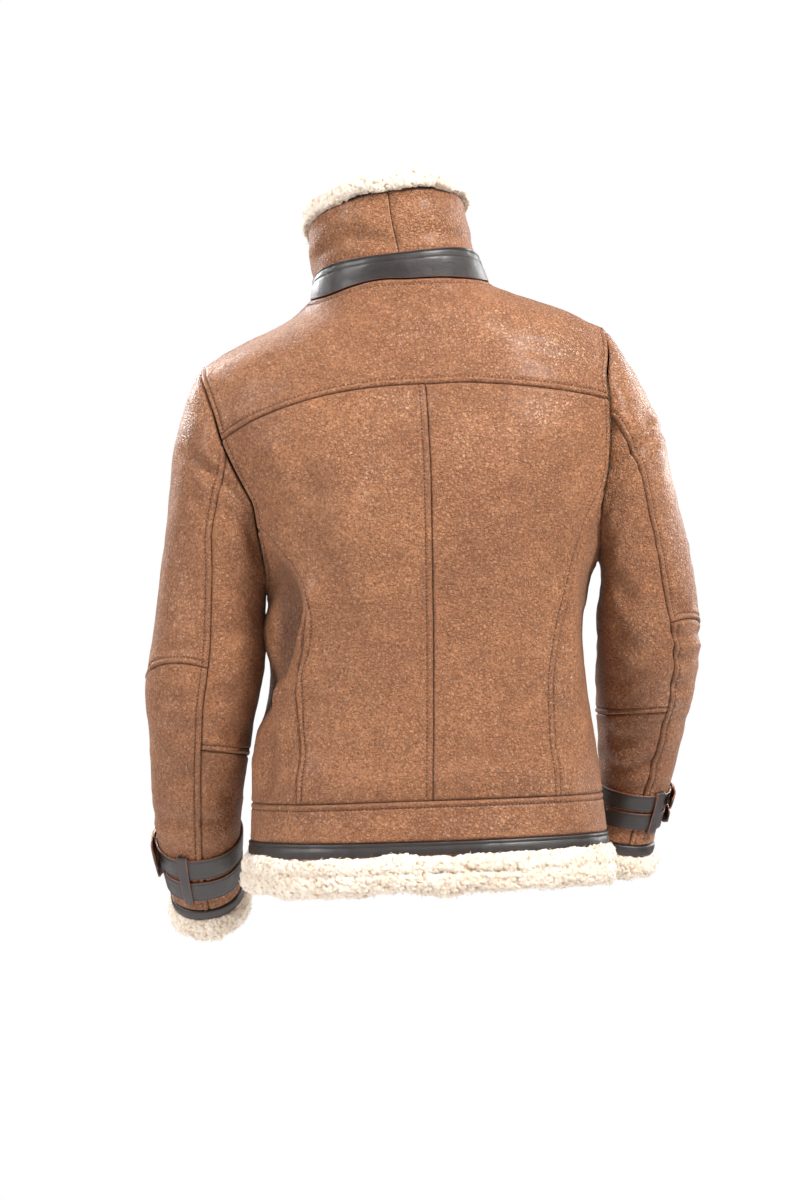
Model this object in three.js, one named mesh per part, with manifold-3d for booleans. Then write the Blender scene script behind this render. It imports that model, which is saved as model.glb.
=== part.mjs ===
// Shearling jacket, worn form, hollow. Millimetres, +Z up, front towards -Y,
// the wearer's left is +X. The origin is the middle of the neck base.
import * as THREE from 'three';
import Module from 'manifold-3d';

const wasm = await Module();
wasm.setup();

// ---------------------------------------------------------------- named sizes
const WALL = 6;            // hide with its wool, body and sleeves
const GAP = 0.17;          // each piece stops this far short of a seam line
const COLLAR_WALL = 4;
const BAND = 2.4;          // dark collar band
const STRAP = 2.4;         // cuff strap leather
const FRONT_EDGE = 5.0;    // front edge to the zip's centre line
const TAPE_W = 14, TAPE_T = 1.2, BEAD_W = 2.6;
const ZIP_TOP = -74, SLIDER_Z = -92;

const rad = (d) => (d * Math.PI) / 180;
const lerp = (a, b, t) => a + (b - a) * t;
const v3 = (a) => new THREE.Vector3(...a);

// monotone cubic through short tables
function curve(xs, ys) {
  const n = xs.length, d = [], m = new Array(n);
  for (let i = 0; i < n - 1; i++) d.push((ys[i + 1] - ys[i]) / (xs[i + 1] - xs[i]));
  m[0] = d[0]; m[n - 1] = d[n - 2];
  for (let i = 1; i < n - 1; i++) {
    const a = xs[i] - xs[i - 1], b = xs[i + 1] - xs[i];
    m[i] = d[i - 1] * d[i] <= 0 ? 0 : (3 * (a + b)) / ((2 * b + a) / d[i - 1] + (b + 2 * a) / d[i]);
  }
  return (x) => {
    let i = 0;
    while (i < n - 2 && x >= xs[i + 1]) i++;
    const h = xs[i + 1] - xs[i], u = Math.min(1, Math.max(0, (x - xs[i]) / h));
    return ys[i] * (1 + 2 * u) * (1 - u) ** 2 + m[i] * h * u * (1 - u) ** 2
      + ys[i + 1] * u * u * (3 - 2 * u) + m[i + 1] * h * u * u * (u - 1);
  };
}
function table(cols, rows, key = cols[0]) {
  const sorted = [...rows].sort((a, b) => a[cols.indexOf(key)] - b[cols.indexOf(key)]);
  const out = {}, xs = sorted.map((r) => r[cols.indexOf(key)]);
  cols.forEach((c, i) => { if (c !== key) out[c] = curve(xs, sorted.map((r) => r[i])); });
  return out;
}

// ------------------------------------------------------------------ body form
// z level, centre x, left and right reach, depth back and front,
// squareness at the sides and in the middle
const BODY = table(['z', 'cx', 'xl', 'xr', 'db', 'df', 'ns', 'nm'], [
  [60, 6, 70, -70, 74, 50, 2.0, 2.1],
  [30, 3, 80, -86, 84, 60, 2.0, 2.1],
  [17, 2, 87, -102, 88, 64, 1.95, 2.1],
  [4, 1, 97, -135, 92, 69, 1.85, 2.15],
  [-10, -2, 110, -178, 97, 74, 1.75, 2.15],
  [-24, -6, 128, -211, 102, 79, 1.7, 2.2],
  [-38, -9, 154, -238, 107, 84, 1.7, 2.2],
  [-52, -12, 182, -250, 111, 90, 1.75, 2.2],
  [-66, -15, 208, -255, 115, 96, 1.8, 2.2],
  [-80, -18, 226, -257, 119, 102, 1.85, 2.25],
  [-100, -21, 239, -258, 124, 111, 1.95, 2.25],
  [-130, -24, 241, -257, 130, 123, 2.05, 2.3],
  [-165, -26, 233, -254, 135, 133, 2.15, 2.3],
  [-200, -28, 216, -249, 138, 138, 2.2, 2.3],
  [-235, -29, 195, -241, 139, 140, 2.2, 2.3],
  [-280, -30, 170, -230, 139, 141, 2.2, 2.3],
  [-330, -31, 154, -221, 136, 140, 2.2, 2.3],
  [-400, -32, 152, -216, 131, 138, 2.2, 2.3],
  [-480, -32, 159, -222, 129, 138, 2.2, 2.3],
  [-560, -31, 169, -231, 132, 141, 2.25, 2.3],
  [-640, -31, 173, -238, 138, 143, 2.3, 2.35],
  [-760, -31, 174, -240, 142, 145, 2.3, 2.35],
]);
function body(q, z) {
  const c = Math.cos(q), s = Math.sin(q), cx = BODY.cx(z);
  const a = c >= 0 ? BODY.xl(z) - cx : cx - BODY.xr(z), b = s >= 0 ? BODY.db(z) : BODY.df(z);
  const n = BODY.ns(z) + (BODY.nm(z) - BODY.ns(z)) * s * s;
  const r = (Math.abs(c) ** n + Math.abs(s) ** n) ** (-1 / n);
  return new THREE.Vector3(cx + a * r * c, b * r * s, z);
}
function normalOf(f, a, b, ha = 1e-3, hb = 0.5) {
  const da = f(a + ha, b).sub(f(a - ha, b)), db = f(a, b + hb).sub(f(a, b - hb));
  return da.cross(db).normalize();
}
const onBody = (q, z, n = 0) => {
  const p = body(q, z);
  return n === 0 ? p : p.addScaledVector(normalOf(body, q, z), n);
};

// ---------------------------------------------------------------- seam tables
// neck seam: where an oval tube of these reaches cuts the body form
const NECK = { left: 101, right: -99, back: 89, front: -92, square: 2.05 };
const neckTable = (() => {
  const xs = [], qs = [], zs = [];
  for (let d = 0; d <= 360; d += 5) {
    const al = rad(d), c = Math.cos(al), s = Math.sin(al), n = NECK.square;
    const a = (NECK.left - NECK.right) / 2, b = s >= 0 ? NECK.back : -NECK.front;
    const r = (Math.abs(c) ** n + Math.abs(s) ** n) ** (-1 / n);
    const X = (NECK.left + NECK.right) / 2 + a * r * c, Y = b * r * s, far = Math.hypot(X, Y), dir = Math.atan2(Y, X);
    const at = (z) => { // angle on the form whose plan direction is dir
      let lo = al - 0.9, hi = al + 0.9;
      for (let k = 0; k < 40; k++) {
        const m = (lo + hi) / 2, p = body(m, z);
        let e = Math.atan2(p.y, p.x) - dir; e -= 2 * Math.PI * Math.round(e / (2 * Math.PI));
        if (e < 0) lo = m; else hi = m;
      }
      return (lo + hi) / 2;
    };
    let lo = -120, hi = 50;
    for (let k = 0; k < 40; k++) {
      const m = (lo + hi) / 2, p = body(at(m), m);
      if (Math.hypot(p.x, p.y) > far) lo = m; else hi = m;
    }
    xs.push(d); qs.push(at(lo) - al); zs.push(lo);
  }
  return { q: curve(xs, qs), z: curve(xs, zs) };
})();
function neckPoint(al) {
  const d = (((al * 180) / Math.PI) % 360 + 360) % 360;
  return [al + neckTable.q(d), neckTable.z(d)];
}
// armhole: angle round it from the shoulder over the back, seam angle back and front
const ARM = {
  left: { mid: -209, half: 125, side: 1, ...table(['phi', 'back', 'front'], [
    [0, 0, 0], [20, 14, 13], [40, 24, 22], [60, 30.5, 29], [80, 31.5, 33],
    [100, 32, 34], [120, 24, 30], [140, 16, 21], [160, 8, 11], [180, 0, 0]]) },
  right: { mid: -166.5, half: 129.5, side: -1, ...table(['phi', 'back', 'front'], [
    [0, 0, 0], [20, 14, 13], [40, 21, 22], [60, 26.5, 29], [80, 25.5, 33],
    [100, 24.7, 34], [120, 24, 30], [140, 18, 21], [160, 9, 11], [180, 0, 0]]) },
};
function armhole(side, phi) { // phi 0..360, over the back first
  const A = ARM[side], back = phi <= 180, p = back ? phi : 360 - phi;
  const t = rad(back ? A.back(p) : -A.front(p));
  return [A.side > 0 ? t : Math.PI - t, A.mid + A.half * Math.cos(rad(p))];
}
const YOKE = table(['deg', 'z'], [[32, -165], [47, -143.8], [57.3, -130.3], [65.2, -120.8], [74.4, -112.9],
  [84.4, -107.5], [91.3, -105.9], [102, -103.5], [114, -106.3], [125, -109.8], [138, -113.8], [153.7, -118]]);
const CENTRE_BACK = 91.3;
// stations round each armhole: shoulder to yoke seam, to the back panel seam, to the
// lowest point, and up the front; sleeves and body panels share them
const STATIONS = {
  left: { yoke: [0, 14, 28, 42, 56, 69.5], back: [69.5, 75, 88, 102, 117], under: [117, 127, 137.5, 148, 158.5, 169, 180] },
  right: { yoke: [0, 14, 28, 42, 55, 68.2], back: [68.2, 78, 90, 101, 113], under: [113, 124, 135, 146, 157, 168, 180] },
};
for (const S of Object.values(STATIONS)) S.front = Array.from({ length: 13 }, (_, i) => 180 + 15 * i);
const PRINCESS = {
  left: table(['z', 'deg'], [[-265.7, 25.6], [-283, 32], [-313, 38.6], [-338, 44], [-362, 46.6], [-390, 45],
    [-430, 41.4], [-467, 41.7], [-522, 45], [-600, 45.7]]),
  right: table(['z', 'deg'], [[-217.1, 155.7], [-247, 149.6], [-278, 146.3], [-318, 144], [-377, 140.3],
    [-447, 135.7], [-496, 134.8], [-600, 135]]),
};
const SIDE = {
  left: table(['z', 'deg'], [[-334, 0], [-400, 6], [-460, 7], [-600, 8]]),
  right: table(['z', 'deg'], [[-296, 180], [-360, 175], [-460, 174], [-600, 173]]),
};
const ring = (rows) => { // levels round the body, per 45 degrees
  const f = curve([-45, 0, 45, 90, 135, 180, 225, 270, 315, 360, 405], [rows[7], ...rows, rows[0], rows[1]]);
  return (q) => f((((q * 180) / Math.PI) % 360 + 360) % 360);
};
const waistZ = ring([-577, -573, -566, -563, -565, -570, -576, -579]);
const bindTopZ = ring([-620, -616, -610.5, -606.5, -609, -615, -621, -623]);
const bindLowZ = ring([-637, -634.5, -626.5, -623, -626, -632, -638, -640]);
const furLowZ = ring([-680, -677, -669.5, -666, -669.5, -675, -682, -684]);

// --------------------------------------------------------------- sleeve forms
// rings from the armhole to the cuff end: outer point, inner point, depth place,
// half depth, forward tilt of the ring
const SLEEVE_COLS = ['t', 'xo', 'zo', 'xi', 'zi', 'y', 'd', 'f'];
const SLEEVE = { left: table(SLEEVE_COLS, [
    [0, 239.8, -101.2, 158.9, -335.8, 0, 86, 0],
    [17, 252.4, -126.5, 158.2, -342.7, 0, 85, 0],
    [36, 259.4, -156.3, 157.4, -349.6, -1, 80, 0],
    [64, 264.7, -202.3, 156.6, -360.0, -2, 73, 0],
    [97, 268.8, -252.9, 156.3, -374.9, -3, 68, 1],
    [132, 273.5, -304.7, 156.6, -393.4, -4, 65, 2],
    [169, 279.3, -356.5, 157.8, -414.1, -5, 64, 4],
    [208, 288.2, -408.4, 160.8, -439.5, -7, 65, 7],
    [241, 293.2, -448.9, 165.6, -463.9, -11, 64, 11],
    [282, 291.2, -495.5, 171.9, -496.7, -20, 59, 17],
    [328, 290.2, -545.0, 177.9, -534.6, -34, 54, 24],
    [373, 287.0, -588.2, 183.6, -575.3, -50, 50, 30],
    [416, 283.9, -624.8, 188.1, -617.8, -67, 47, 35],
    [456, 276.0, -661.8, 189.2, -654.7, -84, 46, 36],
    [485, 271.3, -686.9, 188.2, -679.8, -97, 45, 36],
    [527, 265.8, -724.8, 184.5, -716.5, -116, 44, 36],
  ]), right: table(SLEEVE_COLS, [
    [0, -245.5, -48.3, -231.9, -301.3, 0, 86, 0],
    [14, -259.4, -65.5, -232.3, -308.2, -1, 85, 0],
    [32, -275.6, -90.7, -231.7, -316.2, -2, 80, 0],
    [57, -293.1, -127.4, -230.6, -326.6, -4, 74, 1],
    [89, -307.2, -177.9, -228.8, -338.1, -7, 69, 3],
    [124, -321.4, -230.7, -227.0, -351.9, -11, 66, 6],
    [160, -333.7, -284.9, -226.7, -369.3, -17, 65, 9],
    [201, -343.9, -341.5, -228.0, -391.4, -26, 65, 13],
    [241, -349.4, -391.6, -228.8, -417.2, -38, 64, 17],
    [286, -345.0, -441.1, -230.2, -450.4, -56, 60, 21],
    [331, -335.4, -486.4, -231.6, -485.3, -75, 55, 22],
    [376, -326.6, -531.1, -234.2, -522.8, -93, 50, 19],
    [417, -317.3, -571.2, -236.9, -561.7, -106, 46, 14],
    [456, -307.4, -607.6, -232.2, -599.3, -114, 44, 11],
    [481, -301.8, -631.9, -228.9, -623.5, -118, 43.5, 9],
    [522, -296.3, -673.0, -224.5, -663.4, -123, 43, 9],
  ]) };
const SECTION = 2.2;       // squareness of the sleeve's rings
function sleeveRing(side, phi, t) {
  const S = SLEEVE[side], a = rad(phi), c = Math.cos(a), s = Math.sin(a);
  const r = (Math.abs(c) ** SECTION + Math.abs(s) ** SECTION) ** (-1 / SECTION);
  const O = new THREE.Vector3(S.xo(t), S.y(t), S.zo(t)), I = new THREE.Vector3(S.xi(t), S.y(t), S.zi(t));
  const mid = O.clone().add(I).multiplyScalar(0.5), half = O.sub(mid), f = rad(S.f(t)), d = S.d(t);
  return mid.addScaledVector(half, r * c).add(new THREE.Vector3(0, d * Math.cos(f) * r * s, -d * Math.sin(f) * r * s));
}
const CAP = 62;            // length over which the sleeve grows out of the armhole
function sleeve(side, phi, t) {
  const p = sleeveRing(side, phi, t);
  if (t >= CAP) return p;
  const [q, z] = armhole(side, ((phi % 360) + 360) % 360), w = Math.max(0, t) / CAP;
  return body(q, z).lerp(p, w * w * (3 - 2 * w) * 0.55 + w * 0.45);
}
function sleeveOut(side, phi, t) {
  const n = normalOf((a, b) => sleeve(side, a, b), phi, t, 0.05, 0.5);
  return side === 'left' ? n.negate() : n;
}
const onSleeve = (side, phi, t, n = 0) => {
  const p = sleeve(side, phi, t);
  return n === 0 ? p : p.addScaledVector(sleeveOut(side, phi, t), n);
};
const LEN = { // stations down each sleeve
  left: { elbow: 232, under: 318, rise: 34, end: 484.5, fur: 527, straps: [[414, 439], [443, 468]], bind: [485, 497], keeper: 70, buckles: [350, 323] },
  right: { elbow: 226, under: 322, rise: 27, end: 480.5, fur: 522, straps: [[412, 434], [437, 459]], bind: [481, 493], keeper: 52, buckles: [350, 323] },
};
const BACK_SEAM = {
  left: curve([0, 20, 50, 100, 170, 240, 330, 420, 484.5], [75, 81, 86, 90, 92, 95, 95, 97, 97]),
  right: curve([0, 20, 60, 124, 200, 241, 331, 417, 480.5], [78, 76, 74, 73, 72, 67, 69, 80, 84]),
};
const FRONT_SEAM = 255;

// ---------------------------------------------------------------- collar form
// rings from the neck seam up: height share, left and right reach, depth back and
// front, and the ring's level: mean, side lean, back lift, twice-round
const COLLAR = [
  { h: 0.30, xl: 98, xr: -88, db: 90, df: -64, z: [19, -12, 37.5, 11.5] },
  { h: 0.62, xl: 105, xr: -80, db: 92, df: -66, z: [55, -11.5, 33, 8] },
  { h: 1.0, xl: 105, xr: -72, db: 92, df: -70, z: [88.7, -15, 25.5, 3.2] },
];
function collarRing(k, q) {
  const R = COLLAR[k], c = Math.cos(q), s = Math.sin(q), cx = (R.xl + R.xr) / 2, a = (R.xl - R.xr) / 2;
  const b = s >= 0 ? R.db : -R.df, r = (Math.abs(c) ** 2.1 + Math.abs(s) ** 2.1) ** (-1 / 2.1);
  return new THREE.Vector3(cx + a * r * c, b * r * s, R.z[0] + R.z[1] * c + R.z[2] * s + R.z[3] * Math.cos(2 * q));
}
function collar(q, h) {
  const pts = [body(...neckPoint(q)), ...COLLAR.map((_, k) => collarRing(k, q))], hs = [0, ...COLLAR.map((R) => R.h)];
  const out = ['x', 'y', 'z'].map((c) => curve(hs, pts.map((p) => p[c]))(h));
  const p = v3(out);
  if (h > 1) p.addScaledVector(pts[3].clone().sub(pts[2]).normalize(), (h - 1) * 100);
  return p;
}
const onCollar = (q, h, n = 0) => {
  const p = collar(q, h);
  return n === 0 ? p : p.addScaledVector(normalOf(collar, q, h, 1e-3, 0.004), n);
};
const COLLAR_GAP = 7.5;    // degrees each side of the centre front

// ------------------------------------------------------------- solid builders
function geometry(points, tris) {
  let vol = 0;
  for (const [a, b, c] of tris) vol += points[a].dot(new THREE.Vector3().crossVectors(points[b], points[c]));
  const g = new THREE.BufferGeometry();
  g.setAttribute('position', new THREE.Float32BufferAttribute(points.flatMap((p) => p.toArray()), 3));
  g.setIndex(tris.flatMap((t) => (vol < 0 ? [t[0], t[2], t[1]] : t)));
  g.computeVertexNormals();
  return g;
}
// a closed wall between an outer and an inner grid of points
function slab(outer, inner) {
  const R = outer.length, C = outer[0].length, pts = [...outer.flat(), ...inner.flat()], N = R * C, tris = [];
  const at = (i, j, k) => k * N + i * C + j;
  const quad = (a, b, c, d) => {
    if (pts[a].distanceToSquared(pts[c]) <= pts[b].distanceToSquared(pts[d])) tris.push([a, b, c], [a, c, d]);
    else tris.push([a, b, d], [b, c, d]);
  };
  for (let j = 0; j < C - 1; j++) {
    quad(at(0, j, 0), at(0, j, 1), at(0, j + 1, 1), at(0, j + 1, 0));
    quad(at(R - 1, j, 0), at(R - 1, j + 1, 0), at(R - 1, j + 1, 1), at(R - 1, j, 1));
  }
  for (let i = 0; i < R - 1; i++) {
    quad(at(i, 0, 0), at(i + 1, 0, 0), at(i + 1, 0, 1), at(i, 0, 1));
    quad(at(i, C - 1, 0), at(i, C - 1, 1), at(i + 1, C - 1, 1), at(i + 1, C - 1, 0));
  }
  for (let i = 0; i < R - 1; i++) for (let j = 0; j < C - 1; j++) {
    quad(at(i, j, 0), at(i, j + 1, 0), at(i + 1, j + 1, 0), at(i + 1, j, 0));
    quad(at(i, j, 1), at(i + 1, j, 1), at(i + 1, j + 1, 1), at(i, j + 1, 1));
  }
  return geometry(pts, tris);
}
// a section swept along stations, closed on itself or capped; capping is the
// triangulation of the section's own outline
function sweep(sections, closed, flat) {
  const S = sections.length, C = sections[0].length, pts = sections.flat(), tris = [];
  const at = (i, j) => (i % S) * C + (j % C);
  for (let i = 0; i < (closed ? S : S - 1); i++) for (let j = 0; j < C; j++) {
    const a = at(i, j), b = at(i, j + 1), c = at(i + 1, j + 1), d = at(i + 1, j);
    if (pts[a].distanceToSquared(pts[c]) <= pts[b].distanceToSquared(pts[d])) tris.push([a, b, c], [a, c, d]);
    else tris.push([a, b, d], [b, c, d]);
  }
  if (!closed) {
    const cap = THREE.ShapeUtils.triangulateShape(flat.map(([x, y]) => new THREE.Vector2(x, y)), []);
    const area = flat.reduce((s, p, i) => s + p[0] * flat[(i + 1) % C][1] - p[1] * flat[(i + 1) % C][0], 0);
    for (const [a, b, c] of cap) { // the caps' winding follows the side faces' own
      const [A, B, D] = [flat[a], flat[b], flat[c]];
      const own = ((B[0] - A[0]) * (D[1] - A[1]) - (B[1] - A[1]) * (D[0] - A[0])) * area > 0;
      const [x, y, z] = own ? [a, b, c] : [a, c, b];
      tris.push([at(0, x), at(0, z), at(0, y)], [at(S - 1, x), at(S - 1, y), at(S - 1, z)]);
    }
  }
  return geometry(pts, tris);
}
const steps = (n, a, b) => Array.from({ length: n + 1 }, (_, i) => lerp(a, b, i / n));

// pulls the rim of a grid in by the seam gap, measured on the surface
function inset(grid, on, sides) {
  const R = grid.length, C = grid[0].length, g = grid.map((r) => r.map((p) => [...p]));
  const pull = (i, j, k, l) => {
    const a = grid[i][j], b = grid[k][l], d = on(...a).distanceTo(on(...b)) || 1;
    g[i][j][0] += ((b[0] - a[0]) * GAP) / d; g[i][j][1] += ((b[1] - a[1]) * GAP) / d;
  };
  for (let j = 0; j < C; j++) { if (sides.bottom !== 0) pull(0, j, 1, j); if (sides.top !== 0) pull(R - 1, j, R - 2, j); }
  for (let i = 0; i < R; i++) { if (sides.left !== 0) pull(i, 0, i, 1); if (sides.right !== 0) pull(i, C - 1, i, C - 2); }
  return g;
}
// grid between four edges (Coons patch in angle and level)
function patch(left, right, bottom, top) {
  const R = left.length, C = bottom.length, g = [];
  for (let i = 0; i < R; i++) {
    const v = i / (R - 1), row = [];
    for (let j = 0; j < C; j++) {
      const u = j / (C - 1), p = [0, 1].map((k) => (1 - u) * left[i][k] + u * right[i][k] + (1 - v) * bottom[j][k] + v * top[j][k]
        - ((1 - u) * (1 - v) * bottom[0][k] + u * (1 - v) * bottom[C - 1][k] + (1 - u) * v * top[0][k] + u * v * top[C - 1][k]));
      row.push(p);
    }
    g.push(row);
  }
  return g;
}
function panel(grid, wall = WALL, sides = {}) {
  const g = inset(grid, (q, z) => body(q, z), sides);
  return slab(g.map((r) => r.map(([q, z]) => onBody(q, z))), g.map((r) => r.map(([q, z]) => onBody(q, z, -wall))));
}

// -------------------------------------------------------------- body panels
const armPart = (side, part, back = false) => {
  const l = STATIONS[side][part].map((p) => armhole(side, p));
  return back ? l.reverse() : l;
};
const join = (...parts) => parts.reduce((o, p) => (o.length ? [...o, ...p.slice(1)] : [...p]), []);
const N_SHOULDER = 4;
function shoulder(side, n) { // from the armhole's top to the neck
  const q = side === 'left' ? 0 : Math.PI, z0 = armhole(side, 0)[1], z1 = neckPoint(q)[1];
  return steps(n, z0, z1).map((z) => [q, z]);
}
const yokeAt = (deg) => [rad(deg), YOKE.z(deg)];
const yokeEnd = { left: armhole('left', 69.5), right: armhole('right', 68.2) };
const yokeDeg = { left: (yokeEnd.left[0] * 180) / Math.PI, right: (yokeEnd.right[0] * 180) / Math.PI };
function yokeEdge(a, b, n) { // the seam's ends sit on the armholes
  return steps(n, a, b).map((d) => {
    const p = yokeAt(d), f = d < 60 ? 1 - (d - yokeDeg.left) / (60 - yokeDeg.left) : d > 140 ? (d - 140) / (yokeDeg.right - 140) : 0;
    const end = d < 60 ? yokeEnd.left : yokeEnd.right;
    return [p[0], lerp(p[1], end[1] + (d < 60 ? YOKE.z(d) - YOKE.z(yokeDeg.left) : YOKE.z(d) - YOKE.z(yokeDeg.right)), Math.max(0, f))];
  });
}
const pieces = [];
const add = (name, geo, look) => pieces.push({ name, geo, look });

const waistPoint = (q) => [q, waistZ(q)];
const centreLine = (n) => steps(n, waistZ(rad(CENTRE_BACK)), YOKE.z(CENTRE_BACK)).map((z) => [rad(CENTRE_BACK), z]);
function princess(side, n) { // waistband to the armhole
  const P = PRINCESS[side], top = armhole(side, STATIONS[side].under[0]), low = side === 'left' ? rad(45.3) : rad(134.9);
  return steps(n, waistZ(low), top[1]).map((z, i) => (i === n ? top : [i === 0 ? low : rad(P.deg(z)), z]));
}
const N_PR = 11, N_PRARM = 4, N_BACK = 8, N_FRONT = 8;
const LOW = { left: rad(45.3), right: rad(134.9) };
const yokeLeft = yokeEdge(yokeDeg.left, CENTRE_BACK, N_BACK), yokeRight = yokeEdge(CENTRE_BACK, yokeDeg.right, N_BACK);
add('back_yoke', panel(patch(
  join(armPart('left', 'yoke', true), shoulder('left', N_SHOULDER)),
  join(armPart('right', 'yoke', true), shoulder('right', N_SHOULDER)),
  join(yokeLeft, yokeRight), steps(2 * N_BACK, 0, Math.PI).map(neckPoint))), 'tan');
add('back_centre_left', panel(patch(
  join(princess('left', N_PR), armPart('left', 'back', true)), centreLine(N_PR + N_PRARM),
  steps(N_BACK, LOW.left, rad(CENTRE_BACK)).map(waistPoint), yokeLeft)), 'tan');
add('back_centre_right', panel(patch(
  centreLine(N_PR + N_PRARM), join(princess('right', N_PR), armPart('right', 'back', true)),
  steps(N_BACK, rad(CENTRE_BACK), LOW.right).map(waistPoint), yokeRight)), 'tan');

// side panels: the armhole from its lowest point to the panel seam is their top edge
const N_UNDER = 6;
function sideSeam(side, n) {
  const low = rad(SIDE[side].deg(-600)), z1 = armhole(side, 180)[1];
  return steps(n, waistZ(low), z1).map((z) => [rad(SIDE[side].deg(Math.min(z, z1))), z]);
}
add('back_side_left', panel(patch(sideSeam('left', N_PR), princess('left', N_PR),
  steps(N_UNDER, sideSeam('left', 1)[0][0], LOW.left).map(waistPoint), armPart('left', 'under', true))), 'tan');
add('back_side_right', panel(patch(princess('right', N_PR), sideSeam('right', N_PR),
  steps(N_UNDER, LOW.right, sideSeam('right', 1)[0][0]).map(waistPoint), armPart('right', 'under'))), 'tan');

// fronts: from the zip to the side seam, armhole and shoulder
const FRONT = (3 * Math.PI) / 2;
function frontEdge(sign, z) { // angle of the edge that lies FRONT_EDGE from the centre line
  return FRONT + (sign * FRONT_EDGE) / (sign > 0 ? BODY.xl(z) - BODY.cx(z) : BODY.cx(z) - BODY.xr(z));
}
const turn = 2 * Math.PI;
function front(side) {
  const sign = side === 'left' ? 1 : -1, n = N_PR + 15;
  const edge = steps(n, waistZ(FRONT), neckPoint(FRONT)[1]).map((z) => [frontEdge(sign, z), z]);
  const outer = join(sideSeam(side, N_PR), armPart(side, 'front'), shoulder(side, 3))
    .map(([q, z]) => (side === 'left' ? [q + turn, z] : [q, z]));
  const low = steps(N_FRONT, edge[0][0], outer[0][0]).map(waistPoint);
  const tip = body(...edge[n]), plan = Math.atan2(tip.y, tip.x) + turn;
  const top = steps(N_FRONT, 0, 1).map((v) => neckPoint(lerp(plan, side === 'left' ? turn : Math.PI, v)));
  top[0] = edge[n];
  return side === 'left' ? patch(edge, outer, low, top) : patch(outer, edge, [...low].reverse(), [...top].reverse());
}
add('front_left', panel(front('left')), 'tan');
add('front_right', panel(front('right')), 'tan');

// waistband, dark binding and hem fur run round from front edge to front edge
const N_ROUND = 40;
const round = (z, edge = 1) => steps(N_ROUND, FRONT + (frontEdge(1, z) - FRONT) * edge, FRONT + (frontEdge(-1, z) - FRONT) * edge + turn);
function hemBand(topZ, lowZ, rows, nOut, nIn, edge) {
  const grid = steps(rows, 0, 1).map((v) => round(-600, edge).map((q) => [q, lerp(lowZ(q), topZ(q), v)]));
  const g = inset(grid, (q, z) => body(q, z), {});
  return slab(g.map((r) => r.map(([q, z]) => onBody(q, z, nOut))), g.map((r) => r.map(([q, z]) => onBody(q, z, nIn))));
}
add('waistband', hemBand(waistZ, bindTopZ, 2, 0, -WALL), 'tan');
add('hem_binding', hemBand(bindTopZ, bindLowZ, 1, 1.4, -WALL - 1, 0.5), 'dark');
const furSection = [[-7, 0], [1.5, 0], [7, -4], [10, -12], [10.5, -24], [9.5, -36], [5, -42.5], [-3, -44], [-8, -41], [-11, -30], [-12, -16], [-11, -4]];
add('hem_fur', sweep(round(-660, 0.3).map((q) => {
  const top = bindLowZ(q) - 0.35, k = (top - furLowZ(q)) / 44;
  return furSection.map(([n, z]) => onBody(q, top + z * k, n));
}), false, furSection), 'fur');

// -------------------------------------------------------------------- collar
const c0 = FRONT + rad(COLLAR_GAP), c1 = FRONT + turn - rad(COLLAR_GAP), CB = Math.PI / 2 + rad(1.5) + turn;
// start of a wall that stands on an edge of the body: its outer point and the point
// across its thickness, kept on the hole's side of that edge
function foot(A, N, T, inside, M, wall, least = 0.12) {
  const H = new THREE.Vector3().crossVectors(N, T).normalize();
  if (inside.clone().sub(A).dot(H) < 0) H.negate();
  const F = M.clone().negate();
  if (F.dot(H) < least) F.addScaledVector(H, least - F.dot(H)).normalize();
  const outer = A.clone().addScaledVector(H, 0.22).addScaledVector(N, 0.22);
  return [outer, outer.clone().addScaledVector(F, wall)];
}
const H_ROWS = [0, 0.05, 0.16, 0.28, 0.4, 0.52, 0.64, 0.76, 0.88, 1];
const collarLeft = steps(15, c0, CB), collarRight = steps(14, CB, c1), collarAll = join(collarLeft, collarRight);
function collarPiece(qs) {
  const g = inset(H_ROWS.map((h) => qs.map((q) => [q, h])), (q, h) => collar(q, h), { bottom: 0 });
  const out = g.map((r) => r.map(([q, h]) => onCollar(q, h))), inn = g.map((r) => r.map(([q, h]) => onCollar(q, h, -COLLAR_WALL)));
  g[0].forEach(([q], k) => {
    const A = body(...neckPoint(q)), T = body(...neckPoint(q + 0.01)).sub(body(...neckPoint(q - 0.01))).normalize();
    [out[0][k], inn[0][k]] = foot(A, normalOf(body, ...neckPoint(q)), T, new THREE.Vector3(0, 0, A.z), normalOf(collar, q, 0.1, 1e-3, 0.004), COLLAR_WALL, 0.5);
    inn[1][k] = out[1][k].clone().add(inn[0][k].clone().sub(out[0][k]).lerp(inn[1][k].clone().sub(out[1][k]), 0.25).setLength(COLLAR_WALL));
  });
  return slab(out, inn);
}
add('collar_left', collarPiece(collarLeft), 'tan');
add('collar_right', collarPiece(collarRight), 'tan');
const band = [[0.05, 0.4], [0.05, 0.4 + BAND], [0.16, 0.4 + BAND], [0.28, 0.4 + BAND], [0.28, 0.4], [0.16, 0.4]];
add('collar_band', sweep(collarAll.map((q) => band.map(([h, n]) => onCollar(q, h, n))), false, band), 'dark');
const rim = (h0) => [...[h0, ...H_ROWS.slice(3, 9), 1.004].map((h) => [h, -COLLAR_WALL - 0.4]), [1.004, 2], [1.02, 7], [1.09, 9], [1.17, 7.5], [1.22, 1],
  [1.235, -6], [1.21, -14], [1.13, -19], [1.02, -18], [0.8, -15], [0.5, -13.5], [h0 + 0.1, -12], [h0, -9]];
add('collar_fur', sweep(collarAll.map((q) => rim(0.1 + 0.16 * Math.max(0, -Math.sin(q))).map(([h, n]) => onCollar(q, h, n))), false, rim(0.1)), 'fur');

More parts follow.
